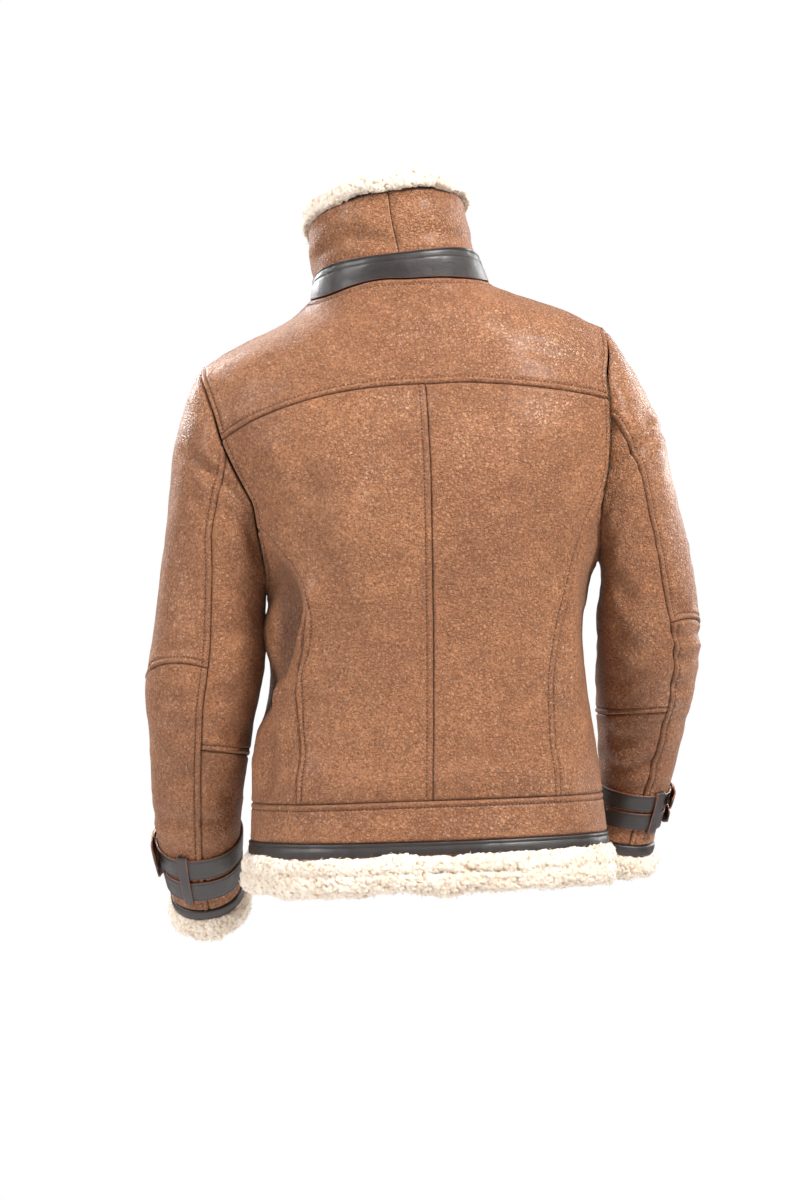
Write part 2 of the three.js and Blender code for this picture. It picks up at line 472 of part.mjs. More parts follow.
// ------------------------------------------------------------------- sleeves
function sleeveStart(side, phi) { // start of the sleeve's wall on the armhole
  const [q, z] = armhole(side, phi), at = (p) => body(...armhole(side, ((p % 360) + 360) % 360));
  return foot(body(q, z), normalOf(body, q, z), at(phi + 0.05).sub(at(phi - 0.05)).normalize(),
    body(side === 'left' ? 0 : Math.PI, ARM[side].mid), sleeveOut(side, phi, 9), WALL);
}
const T_ROWS = [0, 9, 24, 46, 77, 115, 163];
// columns start at the armhole's stations and spread to the seams further down
const ease = (t, a, b) => { const w = Math.min(1, Math.max(0, (t - a) / (b - a))); return w * w * (3 - 2 * w); };
// the cross seams stand higher at the back of the arm than at the front
const risen = (side, phi, t) => t - LEN[side].rise * Math.sin(rad(phi)) * ease(t, 60, 205) * (1 - ease(t, 322, 408));
function sleevePiece(side, ts, cols, seams) {
  const out = [], inn = [], a0 = cols[0], a1 = cols[cols.length - 1];
  ts.forEach((t, i) => {
    const tt = i === 0 ? t + GAP : i === ts.length - 1 ? t - GAP : t, a = [], b = [];
    const s0 = seams[0](t), s1 = seams[1](t);
    cols.forEach((c, j) => {
      let p = s0 + ((c - a0) * (s1 - s0)) / (a1 - a0);
      const e = sleeve(side, p + 0.5, Math.max(1, tt)).distanceTo(sleeve(side, p - 0.5, Math.max(1, tt)));
      if (j === 0) p += GAP / e; if (j === cols.length - 1) p -= GAP / e;
      if (t === 0) { const [o, w] = sleeveStart(side, p); a.push(o); b.push(w); }
      else { const tr = risen(side, p, tt); a.push(onSleeve(side, p, tr)); b.push(onSleeve(side, p, tr, -WALL)); }
    });
    out.push(a); inn.push(b);
  });
  return slab(out, inn);
}
for (const side of ['left', 'right']) {
  const L = LEN[side], S = STATIONS[side], b = BACK_SEAM[side], f = () => FRONT_SEAM, f0 = () => FRONT_SEAM - 360;
  const high = T_ROWS.filter((t) => t < L.elbow - 14), mid = steps(3, L.elbow, L.under), low = steps(5, L.under, L.end);
  const top = join(S.front.filter((p) => p >= FRONT_SEAM).map((p) => p - 360), S.yoke, S.back.slice(0, 2));
  const under = join(S.back.slice(1), S.under, S.front.filter((p) => p <= FRONT_SEAM));
  add(`sleeve_${side}_top_upper`, sleevePiece(side, [...high, L.elbow], top, [f0, b]), 'tan');
  add(`sleeve_${side}_top_lower`, sleevePiece(side, join(mid, low), top, [f0, b]), 'tan');
  add(`sleeve_${side}_under_upper`, sleevePiece(side, [...high, ...mid], under, [b, f]), 'tan');
  add(`sleeve_${side}_under_lower`, sleevePiece(side, low, under, [b, f]), 'tan');

  // cuff end: binding, fur, straps with their buckles, keeper
  const N = 32, around = steps(N - 1, 0, 360 * (1 - 1 / N));
  const loop = (prof) => sweep(around.map((p) => prof.map(([t, n]) => onSleeve(side, p, t, n))), true);
  const [bt, bl] = L.bind;
  add(`cuff_${side}_binding`, loop([[bt + 0.2, -WALL - 0.5], [bt + 0.2, 1.4], [(bt + bl) / 2, 2.4], [bl - 0.2, 1.4], [bl - 0.2, -WALL - 0.5]]), 'dark');
  const fl = L.fur - bl, prof = [[0.2, -6], [0.2, 0], [4, 5.5], [fl * 0.4, 8], [fl * 0.75, 6], [fl - 1, 0], [fl, -5], [fl - 2, -11], [fl * 0.6, -15], [fl * 0.3, -15], [1.5, -11]];
  add(`cuff_${side}_fur`, loop(prof.map(([t, n]) => [bl + t, n])), 'fur');
  L.straps.forEach(([t0, t1], k) => {
    // the strap starts under its own free end, which passes over the buckle
    const B = L.buckles[k], sec = [];
    for (const p of steps(40, B - 28, B - 28 + 430)) {
      const over = p > B - 28 + 336 ? Math.min(1, (p - (B - 28 + 336)) / 16) : 0, tip = p > B + 14 + 360 ? (p - (B + 14 + 360)) / 28 : 0;
      const n0 = 0.8 + over * 5.3 + tip * 3, w = tip > 0.5 ? (tip - 0.5) * 9 : 0;
      sec.push([[t0 + w, n0], [t0 + w, n0 + STRAP], [(t0 + t1) / 2, n0 + STRAP + 0.2], [t1 - w, n0 + STRAP], [t1 - w, n0], [(t0 + t1) / 2, n0]].map(([t, n]) => onSleeve(side, p, t, n)));
    }
    add(`cuff_${side}_strap_${k + 1}`, sweep(sec, false, [[0, 0], [0, 3], [10, 3.4], [20, 3], [20, 0], [10, -0.01]]), 'dark');
    // buckle frame: a square ring lying between the two layers
    const e = sleeve(side, B + 0.5, t0).distanceTo(sleeve(side, B - 0.5, t0)), hw = 9 / e, corner = 2.2, path = [];
    const a0 = t0 - 1.5, a1 = t1 + 1.5;
    for (const [cp, ct, s] of [[1, 1, 0], [-1, 1, 90], [-1, -1, 180], [1, -1, 270]]) for (const d of [0, 45, 90])
      path.push([B + cp * (hw - corner / e) + (corner / e) * Math.cos(rad(s + d)), (ct > 0 ? a1 - corner : a0 + corner) + corner * Math.sin(rad(s + d)), s + d]);
    const secs = path.map(([p, t, d]) => steps(7, 0, 315).map((g) => {
      const o = 0.8 * Math.cos(rad(g)), n = 4.75 + 0.8 * Math.sin(rad(g));
      return onSleeve(side, p + (o * Math.cos(rad(d))) / e, t + o * Math.sin(rad(d)), n);
    }));
    add(`cuff_${side}_buckle_${k + 1}`, sweep(secs, true), 'brass');
  });
  const K = L.keeper, t0 = L.straps[0][0] - 2.4, t1 = L.straps[1][1] + 2.4, e = sleeve(side, K + 0.5, t0).distanceTo(sleeve(side, K - 0.5, t0));
  const ks = [[t0 - 2, 0.8], [t0 - 2, 4.2], [t0, 5.8], [t1, 5.8], [t1 + 2, 4.2], [t1 + 2, 0.8], [t1, 0.8], [t1, 4.3], [t0, 4.3], [t0, 0.8]];
  add(`cuff_${side}_keeper`, sweep(steps(3, K - 5.5 / e, K + 5.5 / e).map((p) => ks.map(([t, n]) => onSleeve(side, p, t, n))), false, ks), 'dark');
}

// ----------------------------------------------------------------- front zip
for (const [side, s] of [['left', 1], ['right', -1]]) {
  const prof = [[0.16, -8.6], [TAPE_W, -8.6], [TAPE_W, -7.4], [BEAD_W, -7.4], [BEAD_W, -2.2], [0.16, -2.2]];
  const zs = steps(24, bindTopZ(FRONT) + 1, ZIP_TOP);
  add(`zip_tape_${side}`, sweep(zs.map((z) => prof.map(([x, n]) => {
    const a = s > 0 ? BODY.xl(z) - BODY.cx(z) : BODY.cx(z) - BODY.xr(z);
    return onBody(FRONT + (s * x) / a, z, n - (x > 5 ? 0.12 : 0));
  })), false, prof), 'tape');
}

// ---------------------------------------------------- zip slider and its pull
const frameAt = (() => {
  const P = onBody(FRONT, SLIDER_Z), N = normalOf(body, FRONT, SLIDER_Z), X = new THREE.Vector3(1, 0, 0);
  const U = new THREE.Vector3().crossVectors(N, X).normalize();
  if (U.z < 0) U.negate();
  return new THREE.Matrix4().makeBasis(X, U, new THREE.Vector3().crossVectors(X, U)).setPosition(P);
})();
const out = new THREE.Vector3().setFromMatrixColumn(frameAt, 2), flip = out.y > 0 ? -1 : 1;
const solidOf = (geo) => {
  const g = geo.index ? geo : geo, pos = g.attributes.position, map = new Map(), verts = [], tri = [];
  const idx = g.index ? [...g.index.array] : [...Array(pos.count).keys()];
  for (const i of idx) {
    const p = [pos.getX(i), pos.getY(i), pos.getZ(i)], key = p.map((v) => v.toFixed(5)).join();
    if (!map.has(key)) { map.set(key, verts.length / 3); verts.push(...p); }
    tri.push(map.get(key));
  }
  const keep = [];
  for (let i = 0; i < tri.length; i += 3) if (new Set(tri.slice(i, i + 3)).size === 3) keep.push(...tri.slice(i, i + 3));
  return new wasm.Manifold(new wasm.Mesh({ numProp: 3, vertProperties: new Float32Array(verts), triVerts: new Uint32Array(keep) }));
};
const fromSolid = (m) => {
  const mesh = m.getMesh(), pts = [];
  for (let i = 0; i < mesh.vertProperties.length; i += mesh.numProp) pts.push(v3([...mesh.vertProperties.slice(i, i + 3)]));
  const tris = [];
  for (let i = 0; i < mesh.triVerts.length; i += 3) tris.push([mesh.triVerts[i], mesh.triVerts[i + 1], mesh.triVerts[i + 2]]);
  return geometry(pts, tris);
};
const box = (x, y, z, cx, cy, cz) => solidOf(new THREE.BoxGeometry(x, y, z).translate(cx, cy, cz * flip));
const rod = (r, l, cx, cy, cz) => solidOf(new THREE.CylinderGeometry(r, r, l, 20).rotateZ(Math.PI / 2).translate(cx, cy, cz * flip));
const PIN_Y = 3, PIN_N = 3.2;
const place = (m) => fromSolid(m).applyMatrix4(frameAt);
// the pull turns about X through this point
export const pullAxis = new THREE.Vector3(0, PIN_Y, PIN_N * flip).applyMatrix4(frameAt);
add('zip_slider', place([box(1.3, 4.4, 4.4, 2.75, PIN_Y, 2.4), box(1.3, 4.4, 4.4, -2.75, PIN_Y, 2.4), rod(0.75, 6, 0, PIN_Y, PIN_N)]
  .reduce((a, b) => a.add(b), box(7, 12, 2.2, 0, 0, -0.7))), 'brass');
const tabShape = new THREE.Shape().moveTo(-1.7, -1).lineTo(1.7, -1).lineTo(3, -9).lineTo(3.2, -24).quadraticCurveTo(0, -29, -3.2, -24).lineTo(-3, -9).lineTo(-1.7, -1);
const tab = solidOf(new THREE.ExtrudeGeometry(tabShape, { depth: 1.5, bevelEnabled: false }).translate(0, PIN_Y, PIN_N * flip - 0.75))
  .add(rod(2, 3.4, 0, PIN_Y, PIN_N)).subtract(rod(1.1, 5, 0, PIN_Y, PIN_N));
add('zip_pull', place(tab), 'brass');

// --------------------------------------------------------------------- group
const LOOK = {
  tan: { color: 0xa87545, roughness: 0.62, metalness: 0 },
  dark: { color: 0x2f211b, roughness: 0.5, metalness: 0 },
  fur: { color: 0xe9ddc8, roughness: 0.95, metalness: 0 },
  tape: { color: 0x2a211c, roughness: 0.85, metalness: 0 },
  brass: { color: 0x9a7a45, roughness: 0.35, metalness: 1 },
};
const jacket = new THREE.Group();
for (const { name, geo, look } of pieces) {
  const mesh = new THREE.Mesh(geo, new THREE.MeshStandardMaterial(LOOK[look]));
  mesh.name = name;
  jacket.add(mesh);
}
export default jacket;
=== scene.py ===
# Shearling jacket, worn form, hollow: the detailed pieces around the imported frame.
# The form's tables are in millimetres; pieces are made in metres.
import math
import bpy
import numpy as np
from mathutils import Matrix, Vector
from mathutils.kdtree import KDTree


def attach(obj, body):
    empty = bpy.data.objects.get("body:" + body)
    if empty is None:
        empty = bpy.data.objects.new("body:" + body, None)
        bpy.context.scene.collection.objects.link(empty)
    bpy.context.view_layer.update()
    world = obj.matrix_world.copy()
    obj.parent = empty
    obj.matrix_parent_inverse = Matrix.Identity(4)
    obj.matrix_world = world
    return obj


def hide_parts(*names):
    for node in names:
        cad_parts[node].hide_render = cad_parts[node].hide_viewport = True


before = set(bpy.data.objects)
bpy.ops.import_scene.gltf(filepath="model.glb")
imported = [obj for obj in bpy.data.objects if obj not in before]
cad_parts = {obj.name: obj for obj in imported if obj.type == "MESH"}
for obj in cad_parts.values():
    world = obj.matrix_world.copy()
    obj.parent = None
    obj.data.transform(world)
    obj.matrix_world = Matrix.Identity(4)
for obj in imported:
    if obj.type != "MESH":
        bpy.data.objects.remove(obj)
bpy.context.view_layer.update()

# ------------------------------------------------------------------ small maths
def rad(d):
    return np.radians(d)

def lerp(a, b, t):
    return a + (b - a) * t

def unit(a):
    return a / np.maximum(np.linalg.norm(a, axis=-1, keepdims=True), 1e-12)

def smooth(x, a, b):
    t = np.clip((np.asarray(x, float) - a) / (b - a), 0, 1)
    return t * t * (3 - 2 * t)

def bell(x, at, w):
    return np.exp(-(((x - at) / w) ** 2))

def slopes(xs, Y):
    d = np.diff(Y, axis=0) / np.diff(xs).reshape(-1, *[1] * (Y.ndim - 1))
    m = np.zeros_like(Y)
    m[0], m[-1] = d[0], d[-1]
    for i in range(1, len(xs) - 1):
        a, b = xs[i] - xs[i - 1], xs[i + 1] - xs[i]
        same = d[i - 1] * d[i] > 0
        p, q = np.where(same, d[i - 1], 1), np.where(same, d[i], 1)
        m[i] = np.where(same, 3 * (a + b) / ((2 * b + a) / p + (b + 2 * a) / q), 0)
    return m

class Curve:
    """Monotone cubic through a short table."""
    def __init__(self, xs, ys):
        order = np.argsort(xs)
        self.x, self.y = np.array(xs, float)[order], np.array(ys, float)[order]
        self.m = slopes(self.x, self.y)

    def __call__(self, x):
        x = np.asarray(x, float)
        X, Y, M = self.x, self.y, self.m
        i = np.clip(np.searchsorted(X, x, side="right") - 1, 0, len(X) - 2)
        h = X[i + 1] - X[i]
        u = np.clip((x - X[i]) / h, 0, 1)
        w = 1 - u
        return Y[i] * (1 + 2 * u) * w * w + M[i] * h * u * w * w + Y[i + 1] * u * u * (3 - 2 * u) + M[i + 1] * h * u * u * (u - 1)

def table(cols, rows, key=None):
    k = cols.index(key) if key else 0
    xs = [r[k] for r in rows]
    return {c: Curve(xs, [r[i] for r in rows]) for i, c in enumerate(cols) if i != k}

def hash3(i, j, k, seed):
    m = 0xFFFFFFFF
    h = (i * 374761393 + j * 668265263 + k * 2246822519 + seed * 3266489917) & m
    h = ((h ^ (h >> 13)) * 1274126177) & m
    h = ((h ^ (h >> 16)) * 2654435761) & m
    return ((h ^ (h >> 15)) & m) / 4294967295.0

def noise(P, size, seed=0):
    """Smooth value noise from -1 to 1, features about size mm."""
    X = np.asarray(P, float) / size
    I = np.floor(X).astype(np.int64)
    F = X - I
    F = F * F * F * (F * (F * 6 - 15) + 10)
    out = 0
    for a in (0, 1):
        for b in (0, 1):
            for c in (0, 1):
                w = (F[..., 0] if a else 1 - F[..., 0]) * (F[..., 1] if b else 1 - F[..., 1]) * (F[..., 2] if c else 1 - F[..., 2])
                out = out + w * hash3(I[..., 0] + a, I[..., 1] + b, I[..., 2] + c, seed)
    return out * 2 - 1

def cells(P, size, seed=0):
    """Distance to the nearest and second nearest scattered centre, and that centre's own number."""
    X = np.asarray(P, float) / size
    I = np.floor(X).astype(np.int64)
    one, two, own = np.full(X.shape[:-1], 9.0), np.full(X.shape[:-1], 9.0), np.zeros(X.shape[:-1])
    for a in (-1, 0, 1):
        for b in (-1, 0, 1):
            for c in (-1, 0, 1):
                i, j, k = I[..., 0] + a, I[..., 1] + b, I[..., 2] + c
                h = [hash3(i, j, k, seed + n) for n in (1, 2, 3)]
                d = np.sqrt((i + 0.05 + 0.9 * h[0] - X[..., 0]) ** 2 + (j + 0.05 + 0.9 * h[1] - X[..., 1]) ** 2 + (k + 0.05 + 0.9 * h[2] - X[..., 2]) ** 2)
                near = d < one
                two = np.where(near, one, np.minimum(two, d))
                own = np.where(near, h[0], own)
                one = np.where(near, d, one)
    return one, two, own

def nearest(points, P):
    """Distance from each of P to a dense line of points."""
    tree = KDTree(len(points))
    for i, p in enumerate(points):
        tree.insert(p, i)
    tree.balance()
    flat = np.asarray(P).reshape(-1, 3)
    return np.array([tree.find(p)[2] for p in flat.tolist()]).reshape(np.asarray(P).shape[:-1])

# -------------------------------------------------------------------- named sizes
WALL, GAP, COLLAR_WALL, BAND, STRAP = 6.0, 0.17, 4.0, 2.4, 2.4
FRONT_EDGE, TAPE_W, TAPE_T, BEAD_W, ZIP_TOP, SLIDER_Z = 5.0, 14.0, 1.2, 2.6, -74.0, -92.0

# ---------------------------------------------------------------------- body form
BODY = table(["z", "cx", "xl", "xr", "db", "df", "ns", "nm"], [
    [60, 6, 70, -70, 74, 50, 2.0, 2.1], [30, 3, 80, -86, 84, 60, 2.0, 2.1], [17, 2, 87, -102, 88, 64, 1.95, 2.1],
    [4, 1, 97, -135, 92, 69, 1.85, 2.15], [-10, -2, 110, -178, 97, 74, 1.75, 2.15], [-24, -6, 128, -211, 102, 79, 1.7, 2.2],
    [-38, -9, 154, -238, 107, 84, 1.7, 2.2], [-52, -12, 182, -250, 111, 90, 1.75, 2.2], [-66, -15, 208, -255, 115, 96, 1.8, 2.2],
    [-80, -18, 226, -257, 119, 102, 1.85, 2.25], [-100, -21, 239, -258, 124, 111, 1.95, 2.25], [-130, -24, 241, -257, 130, 123, 2.05, 2.3],
    [-165, -26, 233, -254, 135, 133, 2.15, 2.3], [-200, -28, 216, -249, 138, 138, 2.2, 2.3], [-235, -29, 195, -241, 139, 140, 2.2, 2.3],
    [-280, -30, 170, -230, 139, 141, 2.2, 2.3], [-330, -31, 154, -221, 136, 140, 2.2, 2.3], [-400, -32, 152, -216, 131, 138, 2.2, 2.3],
    [-480, -32, 159, -222, 129, 138, 2.2, 2.3], [-560, -31, 169, -231, 132, 141, 2.25, 2.3], [-640, -31, 173, -238, 138, 143, 2.3, 2.35],
    [-760, -31, 174, -240, 142, 145, 2.3, 2.35]])

def body(q, z):
    q, z = np.broadcast_arrays(np.asarray(q, float), np.asarray(z, float))
    c, s, cx = np.cos(q), np.sin(q), BODY["cx"](z)
    a = np.where(c >= 0, BODY["xl"](z) - cx, cx - BODY["xr"](z))
    b = np.where(s >= 0, BODY["db"](z), BODY["df"](z))
    n = BODY["ns"](z) + (BODY["nm"](z) - BODY["ns"](z)) * s * s
    r = (np.abs(c) ** n + np.abs(s) ** n) ** (-1 / n)
    return np.stack([cx + a * r * c, b * r * s, z], -1)

def normal_of(f, a, b, ha, hb):
    return unit(np.cross(f(a + ha, b) - f(a - ha, b), f(a, b + hb) - f(a, b - hb)))

NECK = dict(left=101, right=-99, back=89, front=-92, square=2.05)
def neck_table():
    d = np.arange(0, 361, 5.0)
    al = rad(d)
    c, s, n = np.cos(al), np.sin(al), NECK["square"]
    a, b = (NECK["left"] - NECK["right"]) / 2, np.where(s >= 0, NECK["back"], -NECK["front"])
    r = (np.abs(c) ** n + np.abs(s) ** n) ** (-1 / n)
    X, Y = (NECK["left"] + NECK["right"]) / 2 + a * r * c, b * r * s
    far, way = np.hypot(X, Y), np.arctan2(Y, X)

    def at(z):
        lo, hi = al - 0.9, al + 0.9
        for _ in range(40):
            m = (lo + hi) / 2
            p = body(m, z)
            e = np.arctan2(p[:, 1], p[:, 0]) - way
            e = e - 2 * np.pi * np.round(e / (2 * np.pi))
            lo, hi = np.where(e < 0, m, lo), np.where(e < 0, hi, m)
        return (lo + hi) / 2

    lo, hi = np.full(len(d), -120.0), np.full(len(d), 50.0)
    for _ in range(40):
        m = (lo + hi) / 2
        p = body(at(m), m)
        out = np.hypot(p[:, 0], p[:, 1]) > far
        lo, hi = np.where(out, m, lo), np.where(out, hi, m)
    return Curve(d, at(lo) - al), Curve(d, lo)
NECK_Q, NECK_Z = neck_table()
def neck_point(al):
    d = np.degrees(al) % 360
    return al + NECK_Q(d), NECK_Z(d)

ARM = {
    "left": dict(mid=-209, half=125, side=1, **table(["phi", "back", "front"], [
        [0, 0, 0], [20, 14, 13], [40, 24, 22], [60, 30.5, 29], [80, 31.5, 33],
        [100, 32, 34], [120, 24, 30], [140, 16, 21], [160, 8, 11], [180, 0, 0]])),
    "right": dict(mid=-166.5, half=129.5, side=-1, **table(["phi", "back", "front"], [
        [0, 0, 0], [20, 14, 13], [40, 21, 22], [60, 26.5, 29], [80, 25.5, 33],
        [100, 24.7, 34], [120, 24, 30], [140, 18, 21], [160, 9, 11], [180, 0, 0]])),
}
def armhole(side, phi):
    A = ARM[side]
    phi = np.asarray(phi, float) % 360
    p = np.where(phi <= 180, phi, 360 - phi)
    t = rad(np.where(phi <= 180, A["back"](p), -A["front"](p)))
    return (t if A["side"] > 0 else np.pi - t), A["mid"] + A["half"] * np.cos(rad(p))

YOKE_Z = Curve(*zip(*[[32, -165], [47, -143.8], [57.3, -130.3], [65.2, -120.8], [74.4, -112.9],
    [84.4, -107.5], [91.3, -105.9], [102, -103.5], [114, -106.3], [125, -109.8], [138, -113.8], [153.7, -118]]))
CENTRE_BACK = 91.3
STATIONS = {
    "left": dict(yoke=[0, 14, 28, 42, 56, 69.5], back=[69.5, 75, 88, 102, 117], under=[117, 127, 137.5, 148, 158.5, 169, 180]),
    "right": dict(yoke=[0, 14, 28, 42, 55, 68.2], back=[68.2, 78, 90, 101, 113], under=[113, 124, 135, 146, 157, 168, 180]),
}
for S in STATIONS.values():
    S["front"] = [180 + 15 * i for i in range(13)]
PRINCESS = {
    "left": Curve(*zip(*[[-265.7, 25.6], [-283, 32], [-313, 38.6], [-338, 44], [-362, 46.6], [-390, 45],
        [-430, 41.4], [-467, 41.7], [-522, 45], [-600, 45.7]])),
    "right": Curve(*zip(*[[-217.1, 155.7], [-247, 149.6], [-278, 146.3], [-318, 144], [-377, 140.3],
        [-447, 135.7], [-496, 134.8], [-600, 135]])),
}
SIDE = {
    "left": Curve(*zip(*[[-334, 0], [-400, 6], [-460, 7], [-600, 8]])),
    "right": Curve(*zip(*[[-296, 180], [-360, 175], [-460, 174], [-600, 173]])),
}
def ring(rows):
    f = Curve([-45, 0, 45, 90, 135, 180, 225, 270, 315, 360, 405], [rows[7], *rows, rows[0], rows[1]])
    return lambda q: f(np.degrees(q) % 360)
waist_z = ring([-577, -573, -566, -563, -565, -570, -576, -579])
bind_top = ring([-620, -616, -610.5, -606.5, -609, -615, -621, -623])
bind_low = ring([-637, -634.5, -626.5, -623, -626, -632, -638, -640])
fur_low = ring([-680, -677, -669.5, -666, -669.5, -675, -682, -684])

# -------------------------------------------------------------------- sleeve forms
COLS = ["t", "xo", "zo", "xi", "zi", "y", "d", "f"]
SLEEVE = {"left": table(COLS, [
    [0, 239.8, -101.2, 158.9, -335.8, 0, 86, 0], [17, 252.4, -126.5, 158.2, -342.7, 0, 85, 0],
    [36, 259.4, -156.3, 157.4, -349.6, -1, 80, 0], [64, 264.7, -202.3, 156.6, -360.0, -2, 73, 0],
    [97, 268.8, -252.9, 156.3, -374.9, -3, 68, 1], [132, 273.5, -304.7, 156.6, -393.4, -4, 65, 2],
    [169, 279.3, -356.5, 157.8, -414.1, -5, 64, 4], [208, 288.2, -408.4, 160.8, -439.5, -7, 65, 7],
    [241, 293.2, -448.9, 165.6, -463.9, -11, 64, 11], [282, 291.2, -495.5, 171.9, -496.7, -20, 59, 17],
    [328, 290.2, -545.0, 177.9, -534.6, -34, 54, 24], [373, 287.0, -588.2, 183.6, -575.3, -50, 50, 30],
    [416, 283.9, -624.8, 188.1, -617.8, -67, 47, 35], [456, 276.0, -661.8, 189.2, -654.7, -84, 46, 36],
    [485, 271.3, -686.9, 188.2, -679.8, -97, 45, 36], [527, 265.8, -724.8, 184.5, -716.5, -116, 44, 36]]),
    "right": table(COLS, [
    [0, -245.5, -48.3, -231.9, -301.3, 0, 86, 0], [14, -259.4, -65.5, -232.3, -308.2, -1, 85, 0],
    [32, -275.6, -90.7, -231.7, -316.2, -2, 80, 0], [57, -293.1, -127.4, -230.6, -326.6, -4, 74, 1],
    [89, -307.2, -177.9, -228.8, -338.1, -7, 69, 3], [124, -321.4, -230.7, -227.0, -351.9, -11, 66, 6],
    [160, -333.7, -284.9, -226.7, -369.3, -17, 65, 9], [201, -343.9, -341.5, -228.0, -391.4, -26, 65, 13],
    [241, -349.4, -391.6, -228.8, -417.2, -38, 64, 17], [286, -345.0, -441.1, -230.2, -450.4, -56, 60, 21],
    [331, -335.4, -486.4, -231.6, -485.3, -75, 55, 22], [376, -326.6, -531.1, -234.2, -522.8, -93, 50, 19],
    [417, -317.3, -571.2, -236.9, -561.7, -106, 46, 14], [456, -307.4, -607.6, -232.2, -599.3, -114, 44, 11],
    [481, -301.8, -631.9, -228.9, -623.5, -118, 43.5, 9], [522, -296.3, -673.0, -224.5, -663.4, -123, 43, 9]])}
SECTION, CAP = 2.2, 62
def sleeve_ring(side, phi, t):
    S, a = SLEEVE[side], rad(phi)
    c, s = np.cos(a), np.sin(a)
    r = (np.abs(c) ** SECTION + np.abs(s) ** SECTION) ** (-1 / SECTION)
    O, I = np.stack([S["xo"](t), S["y"](t), S["zo"](t)], -1), np.stack([S["xi"](t), S["y"](t), S["zi"](t)], -1)
    mid = (O + I) / 2
    f, d = rad(S["f"](t)), S["d"](t)
    fore = np.stack([np.zeros_like(d), d * np.cos(f), -d * np.sin(f)], -1)
    return mid + (O - mid) * (r * c)[..., None] + fore * (r * s)[..., None]

def sleeve(side, phi, t):
    phi, t = np.broadcast_arrays(np.asarray(phi, float), np.asarray(t, float))
    p = sleeve_ring(side, phi, t)
    w = np.clip(t, 0, CAP) / CAP
    k = np.where(t >= CAP, 1.0, w * w * (3 - 2 * w) * 0.55 + w * 0.45)[..., None]
    q, z = armhole(side, phi)
    return lerp(body(q, z), p, k)

LEN = {
    "left": dict(elbow=232, under=318, rise=34, end=484.5, fur=527, straps=[[414, 439], [443, 468]], bind=[485, 497], keeper=70, buckles=[350, 323]),
    "right": dict(elbow=226, under=322, rise=27, end=480.5, fur=522, straps=[[412, 434], [437, 459]], bind=[481, 493], keeper=52, buckles=[350, 323]),
}
BACK_SEAM = {
    "left": Curve([0, 20, 50, 100, 170, 240, 330, 420, 484.5], [75, 81, 86, 90, 92, 95, 95, 97, 97]),
    "right": Curve([0, 20, 60, 124, 200, 241, 331, 417, 480.5], [78, 76, 74, 73, 72, 67, 69, 80, 84]),
}
FRONT_SEAM = 255

# -------------------------------------------------------------------- collar form
COLLAR = [
    dict(h=0.30, xl=98, xr=-88, db=90, df=-64, z=[19, -12, 37.5, 11.5]),
    dict(h=0.62, xl=105, xr=-80, db=92, df=-66, z=[55, -11.5, 33, 8]),
    dict(h=1.0, xl=105, xr=-72, db=92, df=-70, z=[88.7, -15, 25.5, 3.2]),
]
def collar_ring(R, q):
    c, s, cx, a = np.cos(q), np.sin(q), (R["xl"] + R["xr"]) / 2, (R["xl"] - R["xr"]) / 2
    b = np.where(s >= 0, R["db"], -R["df"])
    r = (np.abs(c) ** 2.1 + np.abs(s) ** 2.1) ** (-1 / 2.1)
    return np.stack([cx + a * r * c, b * r * s, R["z"][0] + R["z"][1] * c + R["z"][2] * s + R["z"][3] * np.cos(2 * q)], -1)

def collar(q, h):
    q, h = np.broadcast_arrays(np.asarray(q, float), np.asarray(h, float))
    pts = np.stack([body(*neck_point(q))] + [collar_ring(R, q) for R in COLLAR])
    xs = np.array([0] + [R["h"] for R in COLLAR])
    M = slopes(xs, pts)
    i = np.clip(np.searchsorted(xs, h, side="right") - 1, 0, 2)
    step = xs[i + 1] - xs[i]
    u = np.clip((h - xs[i]) / step, 0, 1)[..., None]
    pick = lambda A, k: np.take_along_axis(A, k[None, ..., None], 0)[0]
    w, step = 1 - u, step[..., None]
    p = pick(pts, i) * (1 + 2 * u) * w * w + pick(M, i) * step * u * w * w + pick(pts, i + 1) * u * u * (3 - 2 * u) + pick(M, i + 1) * step * u * u * (u - 1)
    return p + unit(pts[3] - pts[2]) * (np.maximum(h - 1, 0) * 100)[..., None]

FRONT = 3 * np.pi / 2
TURN = 2 * np.pi
COLLAR_GAP = 7.5
C0, C1, CB = FRONT + rad(COLLAR_GAP), FRONT + TURN - rad(COLLAR_GAP), np.pi / 2 + rad(1.5) + TURN

# ------------------------------------------------- folds, as drawn on the two sides
# A stroke is a line of points across the front or the back as seen square on (in
# units of 1.15 mm from the upper left), each with a half width and a height in mm.
UNIT, FAR, EYE_Z = 1.15, 3000.0, -345.0
def seen(P):
    s = FAR / (FAR - P[..., 1])
    return 400.5 - P[..., 0] * s / UNIT, 600 - (P[..., 2] - EYE_Z) * s / UNIT

def stroke(U, V, pts):
    """pts: (u, v, width, height) each; a trough has low banks beside it."""
    best, w_at, h_at = np.full(U.shape, 1e9), np.ones(U.shape), np.zeros(U.shape)
    for (u0, v0, w0, h0), (u1, v1, w1, h1) in zip(pts[:-1], pts[1:]):
        du, dv = u1 - u0, v1 - v0
        t = np.clip(((U - u0) * du + (V - v0) * dv) / (du * du + dv * dv), 0, 1)
        d = np.hypot(U - u0 - t * du, V - v0 - t * dv)
        near = d < best
        best = np.where(near, d, best)
        w_at, h_at = np.where(near, lerp(w0, w1, t), w_at), np.where(near, lerp(h0, h1, t), h_at)
    x = best / w_at
    return h_at * (np.exp(-x * x) - 0.34 * np.exp(-(((x - 1.9) / 0.75) ** 2)))

